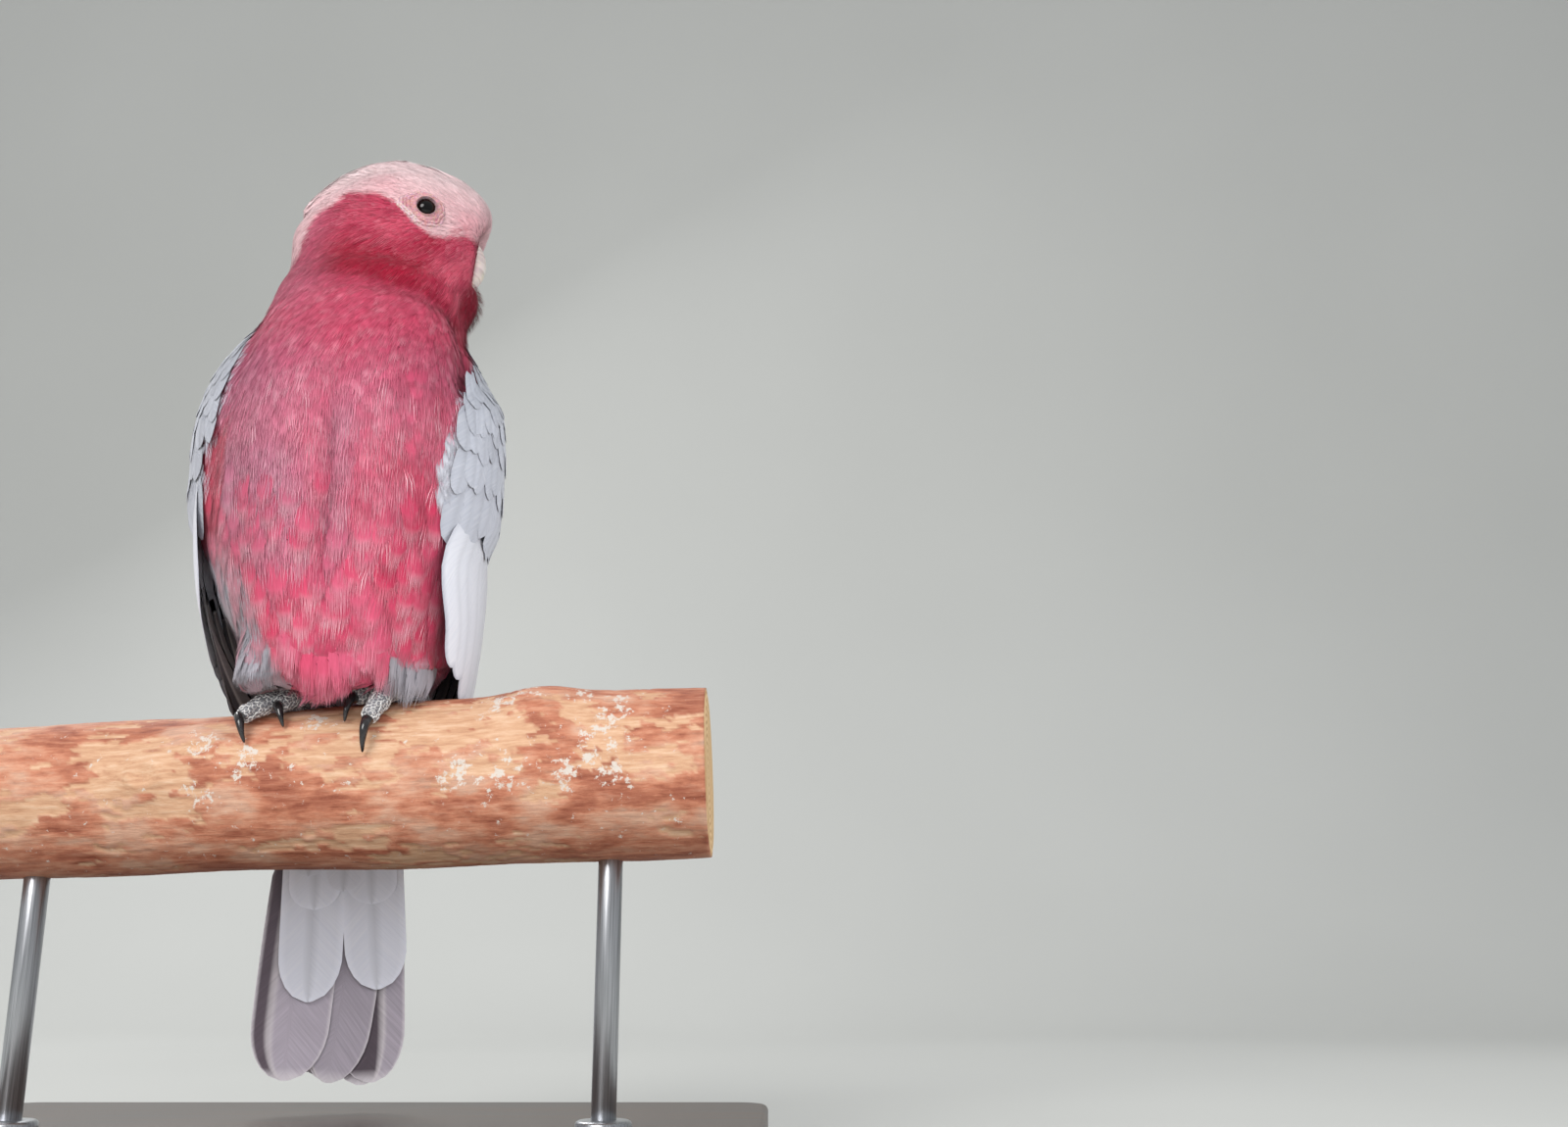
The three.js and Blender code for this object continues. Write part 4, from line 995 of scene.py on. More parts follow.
# ---- Wings ---------------------------------------------------------------------------------------------
# Each folded wing shows pale grey coverts in overlapping rows, then the long secondaries, and under
# them the dark primaries. Every feather is a closed, slightly arched vane on a shaft, grown from the arm.
def long_vanes(
    name, node, surface, root, tip, width, out, colors, slot, seed, bow=0.0, thick=0.5, grid=(12, 9),
    point=0.22, arch=0.5, fray=0.0, course=None, shaft_at=0.0, seen=1,
):
    """Closed vanes over a surface, each from its root to its tip (both as places on the surface)."""
    chance = np.random.default_rng(seed)
    root, tip, width, out = (np.asarray(v, float) for v in (root, tip, width, out))
    n, (rows, columns) = len(root), grid
    each = lambda v: np.broadcast_to(np.asarray(v, float), n)[:, None, None]
    bow, shaft_at, width = each(bow), each(shaft_at), each(width)
    s = 1 - (1 - np.linspace(0, 1, rows)) ** 1.35
    u = np.linspace(-1, 1, columns)
    s, u = (a[None] for a in np.meshgrid(s, u, indexing="ij"))
    taken = np.clip((s - 1 + point) / point, 0, 1)
    half = width / 2 * np.minimum(1, 0.42 + 2.2 * s) * np.sqrt(1 - 0.985 * taken**2)
    notches = 1 - fray * np.abs(np.sin(9 * u + 5 * chance.random((n, 1, 1)))) * taken
    a = mix(each(root[:, 0]), each(tip[:, 0]), s * notches) + 0 * u
    b = mix(each(root[:, 1]), each(tip[:, 1]), s) + bow * np.sin(np.pi * s) + 0 * u
    if course is not None:
        b = course(a, s + 0 * a)
    lift = mix(each(out[:, 0]), each(out[:, 1]), s) + 0 * u
    middle = surface(a, b, lift)
    down_a = (surface(a + 1e-3, b, lift) - middle) / 1e-3
    down_b = (surface(a, b + 0.1, lift) - middle) / 0.1
    normal = unit(np.cross(down_a, down_b))
    outward = surface(a, b, lift + 1) - middle
    normal = normal * np.sign(np.sum(normal * outward, -1, keepdims=True))
    side = unit(np.cross(normal, np.gradient(middle, axis=1)))
    reach = side * (u * half)[..., None]
    aa, bb, ab = (np.sum(x * y, -1) for x, y in ((down_a, down_a), (down_b, down_b), (down_a, down_b)))
    ra, rb = np.sum(reach * down_a, -1), np.sum(reach * down_b, -1)
    det = aa * bb - ab**2
    a2, b2 = a + (ra * bb - rb * ab) / det, b + (rb * aa - ra * ab) / det
    crown = arch * (1 - u**2) * np.minimum(1, 3 * (1 - s) + 0.35)
    crown = crown + 0.22 * hump((u - shaft_at) / 0.09) * (1 - 0.7 * s)
    top = surface(a2, b2, lift + crown)
    low = surface(a2, b2, lift + crown - thick * (0.25 + 0.75 * (1 - u**2)))
    count = rows * columns
    points = np.concatenate([top.reshape(n, count, 3), low.reshape(n, count, 3)], axis=1)
    at = lambda i, j: i * columns + j
    quads = []
    for i in range(rows - 1):
        for j in range(columns - 1):
            quads.append((at(i, j), at(i, j + 1), at(i + 1, j + 1), at(i + 1, j)))
            quads.append(tuple(count + k for k in (at(i, j), at(i + 1, j), at(i + 1, j + 1), at(i, j + 1))))
    edge = [at(0, j) for j in range(columns)] + [at(i, columns - 1) for i in range(1, rows)]
    edge += [at(rows - 1, j) for j in range(columns - 2, -1, -1)] + [at(i, 0) for i in range(rows - 2, 0, -1)]
    for k, here in enumerate(edge):
        after = edge[(k + 1) % len(edge)]
        quads.append((after, here, here + count, after + count))
    quads = np.array(quads)
    corner = points[:, quads[0]]
    faced = np.sum(np.cross(corner[:, 1] - corner[:, 0], corner[:, 2] - corner[:, 0]) * outward[:, 0, 0])
    quads = quads if faced > 0 else quads[:, ::-1]
    flat = (quads[None] + np.arange(n)[:, None, None] * 2 * count).reshape(-1, 4)
    # outer vane, inner vane, rim and shaft each have their own shade
    outer, inner, rim, shaft = (np.asarray(c, float) for c in colors)
    outer, inner, rim, shaft = (np.broadcast_to(c, (n, 3))[:, None, None] for c in (outer, inner, rim, shaft))
    across, quill = smooth(u - shaft_at, -0.1, 0.1), hump((u - shaft_at) / 0.07)
    edge_near = np.maximum(smooth(np.abs(u), 0.9, 1.0) * smooth(s, 0.15, 0.5), smooth(s, 0.95, 1.0))
    shade = outer
    for other, share in ((inner, across), (rim, edge_near), (shaft, quill)):
        shade = shade * (1 - share[..., None]) + other * share[..., None]
    # painted shade: each vane darkens towards its root, where the feather above lies over it
    shade = shade * (
        1 + 0.035 * chance.normal(size=(n, 1, 1, 1))
    ) * (0.86 + 0.14 * smooth(s, 0.0, 0.45))[..., None]
    spot = (root - root.min(0)) / np.maximum(np.ptp(root, axis=0), 1e-3)
    spot = (0.03 + 0.94 * spot[:, ::-1])[:, None, None]
    size = 0.0015 if n > 40 else 0.03
    length = np.linalg.norm(np.diff(middle, axis=1), axis=-1).sum(1).max(1)[:, None, None]
    local = np.stack([u + 0 * s, 2 * s - 1 + 0 * u], -1)
    patch = spot + size * local
    own = np.stack(
        [
            s * length / 10 - 1.1 * np.abs(u) * half / 10 + 40 * chance.random((n, 1, 1)) + 3.3 * (u > 0),
            u * half / 10,
        ],
        -1,
    )
    upright = unit(
        unit(outward) + side * (4 * arch * u / width)[..., None] + 0.04 * chance.normal(size=(n, 1, 1, 3))
    )
    rim_place = np.ones((rows, columns), bool)
    rim_place[1:-1, 1:-1] = False
    rim_place = rim_place.ravel()[None, :, None]
    above, beneath = upright.reshape(n, count, 3), -upright.reshape(n, count, 3)
    if seen > 0:
        beneath = np.where(rim_place, above, beneath)
    else:
        above = np.where(rim_place, beneath, above)
    twice = lambda values: np.concatenate([values.reshape(n, count, -1)] * 2, axis=1).reshape(n * 2 * count, -1)
    soft = np.concatenate([above, beneath], axis=1).reshape(-1, 3)
    mesh = joined_mesh(name, points.reshape(-1, 3), flat, twice(shade), (twice(patch), twice(own)), soft)
    fitted(name, mesh, vane_finish, slot, node)


vane_finish = feather_finish("firm_vane", 0.55, (7.0, 0.6, 1.0), 0.3, Sheen_Weight=0.15, Specular_IOR_Level=0.3)
WING_PALE, WING_GREY, WING_RIM = rgb(218, 220, 229), rgb(190, 193, 204), rgb(176, 178, 190)
DARK_VANE, BROWN_VANE, PALE_SHAFT = rgb(92, 87, 92), rgb(154, 145, 146), rgb(226, 220, 216)
SECONDARY_LEAD = {1: [58, 44, 49, 51, 53], -1: [72, 70, 84, 95, 98]}
PRIMARY_LEAD = {1: [68, 79, 117, 118, 118, 118], -1: [72, 83, 121, 122, 122, 122]}
SECONDARY_TIPS, PRIMARY_TIPS = [0.575, 0.66, 0.69, 0.7, 0.7], [0.7, 0.84, 0.92, 0.96, 0.985]


def arm_surface(side):
    """Over the arm's muscle: `out` counts from the coat's own height there."""

    def surface(t, degrees, out=0.0):
        t, degrees, out = np.broadcast_arrays(t, degrees, out)
        share = down_arm(t)
        lead = along(WING_LEAD[side], np.clip(share, 0, 1))
        across = np.clip((np.abs(degrees) - lead) / (179.3 - lead), 0, 1)
        past = smooth(share, 0.98, 1.3)
        high = arm_height(np.clip(share, 0, 1), across) * (1 - past) + 5.2 * past
        return wing_surface(t, degrees, np.maximum(high, 1.0) + out)

    return surface


for side, word in ((1, "left"), (-1, "right")):
    # primaries: five or six dark blades, each a little longer than the one outside it
    share = np.linspace(0, 1, 7)
    tips = along(PRIMARY_TIPS, share)
    lead_at = along(PRIMARY_LEAD[side], (tips - 0.5) / 0.485)
    tip = np.stack([tips, side * mix(lead_at + 3, 154, share**1.2)], 1)
    root = np.stack([np.full(7, 0.50), side * mix(PRIMARY_LEAD[side][0] + 6, 148, share**1.1)], 1)
    level = np.stack([np.linspace(1.5, 2.2, 7), np.linspace(1.4, 2.2, 7)], 1)
    colors = (BROWN_VANE, DARK_VANE, rgb(140, 130, 130), PALE_SHAFT)
    if side > 0:
        colors = (DARK_VANE, DARK_VANE, rgb(90, 84, 88), rgb(120, 112, 112))
    node, slot = "wing_%s_primaries" % word, "dark_flight_feathers"
    long_vanes(
        "primaries_" + word, node, wing_surface, root, tip, 11.5, level, colors, slot, 11, grid=(16, 9),
        point=0.14, arch=0.35,
    )
    # secondaries: broad pale blades that slant forward down the wing, the inner over the outer
    share = np.linspace(0, 1, 15)
    tips = along(SECONDARY_TIPS, share) + 0.014
    inward = (share**1.1)[:, None, None]

    def slanting(t, s):
        lead = along(SECONDARY_LEAD[side], (t - 0.4) / 0.3)
        place = mix(lead + 7.5, 160, inward) + 30 * smooth(inward, 0, 0.4) * (1 - s)
        return side * np.minimum(place, 172)

    root = np.stack([np.full(15, 0.385), np.linspace(70, 170, 15)], 1)
    tip = np.stack([tips, np.linspace(70, 170, 15)], 1)
    level = np.stack([np.linspace(3.3, 5.1, 15), np.linspace(3.7, 5.4, 15)], 1)
    pale = np.stack([WING_PALE] * 15) * np.linspace(1.0, 0.92, 15)[:, None]
    colors = (pale, pale * 0.97, WING_RIM * 1.05, WING_PALE * 0.9)
    node, slot = "wing_%s_secondaries" % word, "grey_plumage"
    long_vanes(
        "secondaries_" + word, node, wing_surface, root, tip, 14.6, level, colors, slot, 12, thick=0.4,
        grid=(18, 9), point=0.2, arch=0.4, course=slanting,
    )
    # coverts: rows that grow from the shoulder down to the greater coverts over the secondaries
    roots, tips, widths, levels, tones = [], [], [], [], []
    chance = np.random.default_rng(21)
    rows = [
        (0.163, 7, 5), (0.185, 7, 5), (0.207, 7.5, 5.5), (0.229, 8, 5.5), (0.252, 8.5, 6), (0.276, 9, 6.5),
        (0.302, 10, 7.5), (0.332, 12, 8.5), (0.372, 15, 10),
    ]
    for number, (t0, length, wide) in enumerate(rows):
        share0 = down_arm(t0)
        lead = float(along(WING_LEAD[side], np.clip(share0 + 0.12, 0, 1)))
        step = wide * 0.6
        radius = float(np.linalg.norm(wing_surface(t0, side * 100, 6) - wing_surface(t0, side * 99, 6)))
        degrees = np.arange(
            lead + 0.55 * wide / radius + max(0, 13 - 5 * number), 177, step / radius
        ) + chance.random() * step / radius
        for d in degrees:
            per_t = float(
                np.linalg.norm(wing_surface(t0 + 0.01, side * d, 6) - wing_surface(t0, side * d, 6))
            ) / 0.01
            shift = chance.normal(0, 0.0055) + 0.0045 * math.sin(d / 7 + number)
            roots.append((t0 + shift, side * d))
            tips.append((
                t0 + shift + 1.7 * length * (1 + 0.1 * chance.normal()) / per_t,
                side * (d - 4.5 + chance.normal(0, 1.0)),
            ))
            widths.append(wide * (1 + 0.1 * chance.normal()))
            jitter = 0.12 * chance.random()
            levels.append((-1.4 + jitter, -0.3 + jitter))
            tone = WING_GREY * (0.94 + 0.1 * number / 8) * (1 + 0.04 * chance.normal())
            if side < 0:
                inner = 1 - min(1, max(0, (d - lead - 12) / 8))
                tone = tone * (1 - 0.16 * inner)
                if 0.4 < share0 < 0.85 and d < lead + 7 and chance.random() < 0.5:
                    tone = mix(tone, rgb(200, 70, 86), 0.25 + 0.3 * chance.random())
                    widths[-1] *= 0.6
            tones.append(tone)
    tones = np.array(tones)
    colors = (tones * 1.03, tones, tones * 0.95, tones * 0.93)
    node = "wing_%s_coverts" % word
    long_vanes(
        "coverts_" + word, node, arm_surface(side), roots, tips, widths, levels, colors, slot, 13, thick=0.12,
        grid=(7, 7), point=0.45, arch=0.16, fray=0.02,
    )


def arm_gap(points):
    degrees, share, lead = wing_place(points)
    on_arm = (share > -0.05) & (share < 0.8) & (np.abs(degrees) > lead - 4) & (np.abs(degrees) < 176)
    return np.where(on_arm & (points[:, 2] < 140), 2.4, 0)


def greyed(color, points):
    degrees, share, lead = wing_place(points)
    return blend(color, WING_GREY * 1.04, smooth(np.abs(degrees) - lead, -2, 4))


roots = scattered(18, 60000, arm_gap)
feather_coat(
    "shoulder_fine_plumage", (
        "wing_left_coverts", "wing_right_coverts"
    ), roots, strands(5, 0.09, 3), 6.5, 2.8, 2.1, 19,
    0.1, rise=(0.4, 0.85), base=0.98, shift=greyed, wrap=False, slot="grey_plumage",
)


# a loose whitish tuft at the bend of the left wing, over the side of the breast
def bend_gap(points):
    degrees, share, lead = wing_place(points)
    return np.where(
        (degrees > lead - 0.5) & (degrees < lead + 7) & (points[:, 2] > 68) & (points[:, 2] < 89), 1.9, 0
    )


def whitish(color, points):
    return blend(color * 0 + GREY, GREY * 0.7, mottle(points, 4.0, 3))


roots = scattered(29, 60000, bend_gap)
feather_coat(
    "wing_bend_plumage", ("wing_left_coverts",), roots, vane(
        5, (0, 0.5, 1), 12, 0.5, 0.5
    ), 9.0, 3.2, 2.0, 30, 0.4,
    rise=(0.4, 1.0), shift=whitish, wrap=False, stray=0.35, slot="grey_plumage",
)


# ---- Tail ----------------------------------------------------------------------------------------------
# Eight broad feathers in a shallow fan, taupe with pale rims, one web of each painted darker as shade. Two
# rows of round-ended coverts lie under the root of the tail and shorter grey ones lie over it.
TAIL_ROOT, TAIL_TIP = np.array([49.0, -20.0]), np.array([77.0, -127.5])
TAIL_LENGTH = float(np.linalg.norm(TAIL_TIP - TAIL_ROOT))
TAIL_DOWN = np.array([0, *(TAIL_TIP - TAIL_ROOT) / TAIL_LENGTH])
TAIL_OUT = np.array([0, -TAIL_DOWN[2], TAIL_DOWN[1]])


def tail_surface(t, across, out=0.0):
    t, across, out = np.broadcast_arrays(*(np.asarray(v, float) for v in (t, across, out)))
    swing = 3.5 + t * TAIL_LENGTH * math.tan(math.radians(2.5))
    base = np.stack([across + swing, np.full_like(t, TAIL_ROOT[0]), np.full_like(t, TAIL_ROOT[1])], -1)
    return base + TAIL_DOWN * (t * TAIL_LENGTH)[..., None] + TAIL_OUT * (out - across**2 / 220)[..., None]


# painted shade: the darker taupe goes on the web of each tail feather that lies in shade
TAUPE, TAUPE_SHADED, TAUPE_RIM = rgb(180, 172, 184), rgb(98, 88, 97), rgb(214, 208, 214)
# across at the root and tip, tip's t, width, bow, level, shaft's place, shades of the left and right web
TAIL_FEATHERS = [
    (-7, -20, 0.955, 27, -1, -4.6, 0.55, TAUPE, TAUPE_SHADED), (
        2, -5.5, 0.972, 23, 3.8, -3.7, 0.82, TAUPE * 0.96, TAUPE_SHADED
    ),
    (
        7, 9.5, 0.975, 25, 0.5, -2.8, -0.36, TAUPE * 0.92, TAUPE_SHADED * 0.8
    ), (6, 6.0, 0.985, 24, 0, -2.2, -0.3, TAUPE * 0.8, TAUPE_SHADED),
    (
        -5, -13, 0.94, 23, 0, -1.6, 0.2, TAUPE * 0.8, TAUPE_SHADED
    ), (5, 5, 0.95, 23, 0, -1.1, -0.2, TAUPE * 0.8, TAUPE_SHADED),
    (
        -2, -8, 0.96, 22, 0, -0.6, 0.1, TAUPE * 0.85, TAUPE_SHADED
    ), (1, -3, 0.96, 22, 0, -0.1, 0.0, TAUPE * 0.85, TAUPE_SHADED),
]
roots = [(0.06, f[0]) for f in TAIL_FEATHERS]
tips = [(f[2], f[1]) for f in TAIL_FEATHERS]
widths, bows, places = ([f[k] for f in TAIL_FEATHERS] for k in (3, 4, 6))
levels = [(f[5], f[5]) for f in TAIL_FEATHERS]
left_web, right_web = (np.array([f[k] for f in TAIL_FEATHERS]) for k in (7, 8))
colors = (left_web, right_web, TAUPE_RIM, rgb(214, 208, 212))
long_vanes(
    "tail_feathers", "tail", tail_surface, roots, tips, widths, levels, colors, "dark_flight_feathers", 31,
    grid=(20, 21), point=0.2, arch=0.3, bow=bows, shaft_at=places, seen=-1,
)

UNDER = rgb(230, 232, 243)
# along and across at the root and tip, how far out there, width and shade, lower for the short coverts near the
# perch as painted shadow
UNDER_COVERTS = [
    (0.08, 9, 0.66, 12, -6.6, -6.2, 22, 1.0), (0.08, -9, 0.70, -12, -6.6, -6.2, 22, 1.0),
    (0.08, 9, 0.38, 10, -7.5, -7.2, 18, 0.96), (0.08, -9, 0.40, -10, -7.5, -7.2, 18, 0.96),
    (0.06, 1.5, 0.34, 0, -7.9, -7.6, 16, 0.93), (0.05, 10, 0.27, 11.5, -8.2, -7.9, 15, 0.9),
    (0.05, -10, 0.29, -12, -8.2, -7.9, 15, 0.9), (0.03, 4, 0.22, 4.5, -8.6, -8.3, 14, 0.86),
    (0.03, -5, 0.23, -4.5, -8.6, -8.3, 14, 0.86),
]
UPPER_COVERTS = [
    (0.08, 9, 0.44, 11, 1.2, 1.4, 19, 1.0), (
        0.08, -9, 0.46, -11, 1.2, 1.4, 19, 1.0
    ), (0.08, 0, 0.45, 0, 1.6, 1.8, 17, 1.0),
    (0.06, 9, 0.30, 10, 2.0, 2.3, 16, 1.0), (
        0.06, -9, 0.31, -10, 2.0, 2.3, 16, 1.0
    ), (0.05, 0, 0.29, 0, 2.4, 2.7, 15, 1.0),
    (0.02, 6, 0.2, 5, 2.8, 2.9, 14, 1.0), (0.02, -6, 0.2, -5, 2.8, 2.9, 14, 1.0),
]
for word, table, tone, shaft, looks in (
    ("under", UNDER_COVERTS, UNDER, UNDER * 0.84, dict(seed=32, grid=(14, 9), point=0.24, arch=-0.4, seen=-1)),
    ("upper", UPPER_COVERTS, GREY_PALE, GREY * 0.8, dict(seed=33, grid=(12, 9), point=0.26, arch=0.4)),
):
    table = np.array(table)
    # painted shadow: the last column darkens the short under coverts near the perch
    tints, shaft = tone * table[:, 7:], shaft * table[:, 7:]
    name, node, (roots, tips, levels) = word + "tail_coverts", "tail_%scoverts" % word, (
        table[:, k : k + 2] for k in (0, 2, 4)
    )
    long_vanes(
        name, node, tail_surface, roots, tips, table[:, 6], levels, (tints, tints, tints * 1.1, shaft),
        "grey_plumage", **looks,
    )


# ---- Eyes ----------------------------------------------------------------------------------------------
# A near-black glossy ball sits deep in a rim of lids, with bare, finely wrinkled pinkish skin round it
# that comes to a point behind the eye, where a pale fold runs down and forward.
HEAD_SECTIONS = [
    ((-36.1, 11.3), (-31.5, -9), 7), ((-34.7, 17.4), (-31.5, -20), 14), ((-29.6, 23.2), (-29, -28), 19),
    ((-19.4, 28.8), (-20.5, -33), 22.5), ((-6.5, 29.8), (-8, -33), 25), ((6.5, 25.8), (4, -30), 25),
    ((18, 18.5), (15.5, -28), 22.5), ((27.5, 9), (26, -26), 18), ((33.6, -1), (33.4, -17), 11),
]
HEAD_ROWS, HEAD_SIDES = 64, 96


def grid_quads(rows, sides):
    """The faces of a tube whose points come ring by ring."""
    rings = np.arange(rows * sides).reshape(rows, sides)
    after = np.roll(rings, -1, axis=1)
    return np.stack([rings[:-1], after[:-1], after[1:], rings[1:]], -1).reshape(-1, 4).tolist()


turn = np.linspace(-180, 180, HEAD_SIDES + 1)[:-1]
t_head, d_head = np.meshgrid(np.linspace(0, 1, HEAD_ROWS), turn, indexing="ij")
top = through([(half, *a) for a, b, half in HEAD_SECTIONS], t_head)
low = through([(0, *b) for a, b, half in HEAD_SECTIONS], t_head)
round_off = lambda v: np.sign(v) * np.abs(v) ** (2 / 2.25)
centre = (top[..., 1:] + low[..., 1:]) / 2
yz = centre + (top[..., 1:] - centre) * round_off(np.cos(np.radians(d_head)))[..., None]
x = top[..., 0] * round_off(np.sin(np.radians(d_head)))
puff = hump((yz[..., 0] + 14) / 14) * hump((yz[..., 1] + 14) / 12)
head_points = np.concatenate([(x + np.sign(x) * 2.2 * puff)[..., None], yz], -1)
head_shell = BVHTree.FromPolygons(head_points.reshape(-1, 3).tolist(), grid_quads(HEAD_ROWS, HEAD_SIDES))


def on_head(side, y, z):
    """The point of the head's surface and its outward normal, seen from one side."""
    hit, normal, _, _ = head_shell.ray_cast(Vector((side * 60, y, z)), Vector((-side, 0, 0)))
    if hit is None:
        return Vector((side * 10, y, z)), Vector((side, 0, 0))
    return hit, normal * (1 if normal.x * side > 0 else -1)


eye_finish = Finish("eyeball", 0.05, Specular_IOR_Level=0.32)
speckle = eye_finish.noise(eye_finish.place(), 2500.0, 3.0)
where = eye_finish.sum(
    "ADD", eye_finish.attribute("iris").outputs["Fac"], eye_finish.sum("MULTIPLY", speckle, 0.12)
)
EYE_RINGS = ((0.0, 3, 2, 2), (0.48, 5, 3, 3), (0.56, 30, 15, 10), (0.74, 26, 13, 9), (0.84, 8, 5, 4))
eye_finish.color(eye_finish.ramp(where, *EYE_RINGS))

lid_finish = Finish(
    "eye_skin", 0.6, Sheen_Weight=0.1, Specular_IOR_Level=0.35, Subsurface_Weight=0.12, Subsurface_Scale=0.002
)
wrinkle = lid_finish.noise(lid_finish.place(), 900.0, 6.0, 0.65)
pimple = lid_finish.add("TexVoronoi", {"Vector": lid_finish.place(), "Scale": 1300.0})
lid_finish.color(lid_finish.mix(0.8, lid_finish.attribute("dye_and_shade"), wrinkle.outputs["Color"], "SOFT_LIGHT"))
lid_finish.bump(lid_finish.sum("ADD", wrinkle, pimple), 0.9, 0.0006)

BALL, BALL_SUNK = 5.0, 0.55  # the ball's radius, and how far its centre lies inside the head's surface
LID_SKIN, LID_RIM = rgb(198, 146, 150), rgb(136, 110, 114)
LID_FOLD, LID_SHADE = rgb(218, 194, 194), rgb(140, 82, 92)
for side, word in ((1, "left"), (-1, "right")):
    ex, ey, ez = side * EYE[0], EYE[1], EYE[2]
    rings, sectors = 26, 48
    points, iris = [], []
    for i in range(rings + 1):
        a = math.radians(112) * i / rings
        for j in range(sectors):
            b = 2 * math.pi * j / sectors
            cornea = 0.35 * max(0, 1 - (a / 0.62) ** 2)
            r = BALL + cornea
            depth, reach = r * math.cos(a), r * math.sin(a)
            points.append((ex + side * (depth - BALL_SUNK), ey + reach * math.cos(b), ez + reach * math.sin(b)))
            iris.append(min(1, a))
    faces = [(a, d, c, b)[::side] for a, b, c, d in grid_quads(rings + 1, sectors)]
    mesh = plain_mesh("eye_" + word, to_world(from_head(points)), faces)
    ball = bmesh.new()
    ball.from_mesh(mesh)
    layer = ball.verts.layers.float.new("iris")
    for vertex, value in zip(ball.verts, iris):
        vertex[layer] = value
    bmesh.ops.remove_doubles(ball, verts=ball.verts, dist=1e-6)
    bmesh.ops.holes_fill(ball, edges=[e for e in ball.edges if e.is_boundary])
    bmesh.ops.recalc_face_normals(ball, faces=ball.faces)
    ball.to_mesh(mesh)
    ball.free()
    fitted("eyeball_" + word, mesh, eye_finish, "eye", "eye_" + word)

    chance = np.random.default_rng(51 + side)
    rings, sectors = 30, 120
    points, colors = [], []
    wobble = chance.random(8) * 6.28
    for i in range(rings + 1):
        for j in range(sectors):
            angle = 2 * math.pi * j / sectors
            edge = float(np.interp(math.degrees(angle), EYE_SKIN[0], EYE_SKIN[1]))
            inner = 3.22 - 0.1 * math.cos(2 * angle + 0.6)
            s = i / rings
            rho = inner + (edge + 0.9 - inner) * s**1.15
            dy, dz = -rho * math.cos(angle), rho * math.sin(angle)
            hit, normal = on_head(side, ey + dy, ez + dz)
            k = rho - inner
            second = math.exp(-((k - 1.7) / 0.4) ** 2 * (1 + 0.3 * math.sin(3 * angle + wobble[0])))
            lid = 0.7 * math.exp(-((k - 0.4) / 0.42) ** 2) + 0.2 * second
            wander = 2.2 * math.sin(2 * angle + wobble[1])
            crease = 0.14 * math.sin(
                5.2 * k + wander + 1.7 * math.sin(5 * angle + wobble[2]) + 1.2 * math.sin(9 * angle + wobble[3])
            )
            crease *= min(1, max(0, (k - 1.5) / 1.2))
            fold = 0.0
            fy, fz = -dy, dz  # forward and up from the eye's centre
            share = ((fy + 11.7) * 10.4 - (fz - 2.1) * 9.6) / (10.4**2 + 9.6**2)
            if 0 < share < 1:
                off = abs((fy + 11.7) * 9.6 + (fz - 2.1) * 10.4) / math.hypot(10.4, 9.6)
                fold = 0.42 * math.exp(-((off - 0.4) / 0.4) ** 2) * math.sin(math.pi * share) ** 0.5
            sink = -1.5 * max(0, (s - 0.55) / 0.45) ** 1.6
            brim = 0.55 if k < 0.9 else 0.55 * math.exp(-((k - 0.9) / 0.9) ** 2)
            height = 0.12 + lid + crease + fold + sink + brim
            p = hit + normal * height
            if i == 0:  # the inmost ring lies on the ball
                depth_in = math.sqrt(max(0, BALL**2 - rho * rho)) - BALL_SUNK
                p = Vector((side * (EYE[0] + depth_in - 0.25), ey + dy, ez + dz))
            spot = np.array([[ey + dy, ez + dz, 0.0]])
            blotch, fleck = float(mottle(spot, 1.3, 12 + side)[0]), float(mottle(spot, 0.5, 14)[0])
            height_noise = 0.22 * (blotch - 0.5) + 0.16 * (fleck - 0.5)
            points.append(tuple(p + normal * (height_noise * min(1, max(0, (k - 0.9) / 0.6)))))
            tone = LID_SKIN * (0.72 + 0.36 * blotch + 0.2 * fleck)
            tone = tone + (CAP_PINK * 0.95 - tone) * 0.8 * float(smooth(s + 0.3 * (blotch - 0.5), 0.5, 0.85))
            tone = tone + (LID_RIM - tone) * math.exp(-((k - 0.15) / 0.4) ** 2)
            tone = tone + (LID_SHADE - tone) * 0.8 * min(1, max(0, -crease / 0.17)) * min(1, k / 2)
            tone = tone + (LID_FOLD - tone) * min(1, fold * 2.2)
            colors.append(tone * (1 + 0.07 * chance.normal()))
    faces = [(a, d, c, b)[::-side] for a, b, c, d in grid_quads(rings + 1, sectors)]
    mesh = plain_mesh("eye_skin_" + word, to_world(from_head(points)), faces)
    dyed(mesh, "dye_and_shade", np.array(colors))
    fitted("eye_skin_" + word, mesh, lid_finish, "eye_skin", "eye_ring_" + word)


# ---- Bill ----------------------------------------------------------------------------------------------
# Bone-white horn: a deep hooked upper half with a low ridge, and a short scoop of a lower half behind it.
# Both halves are rooted in the front of the head, and the feathers of forehead and cheeks lie over the roots.
bill_finish = Finish(
    "bill_horn", 0.42, Coat_Weight=0.15, Coat_Roughness=0.3, Subsurface_Weight=0.1, Subsurface_Scale=0.003
)
growth = bill_finish.stretched(bill_finish.add("UVMap", uv_map="growth"), (26.0, 3.0, 1.0))
layers = bill_finish.noise(growth, 1.0, 4.0)
flakes = bill_finish.noise(bill_finish.place(), 260.0, 5.0)
horn = bill_finish.ramp(layers, (0.25, 184, 170, 163), (0.5, 216, 202, 195), (0.75, 232, 220, 213))
bill_finish.color(bill_finish.mix(0.4, horn, flakes.outputs["Color"], "SOFT_LIGHT"))
bill_finish.bump(layers, 0.35, 0.0004)


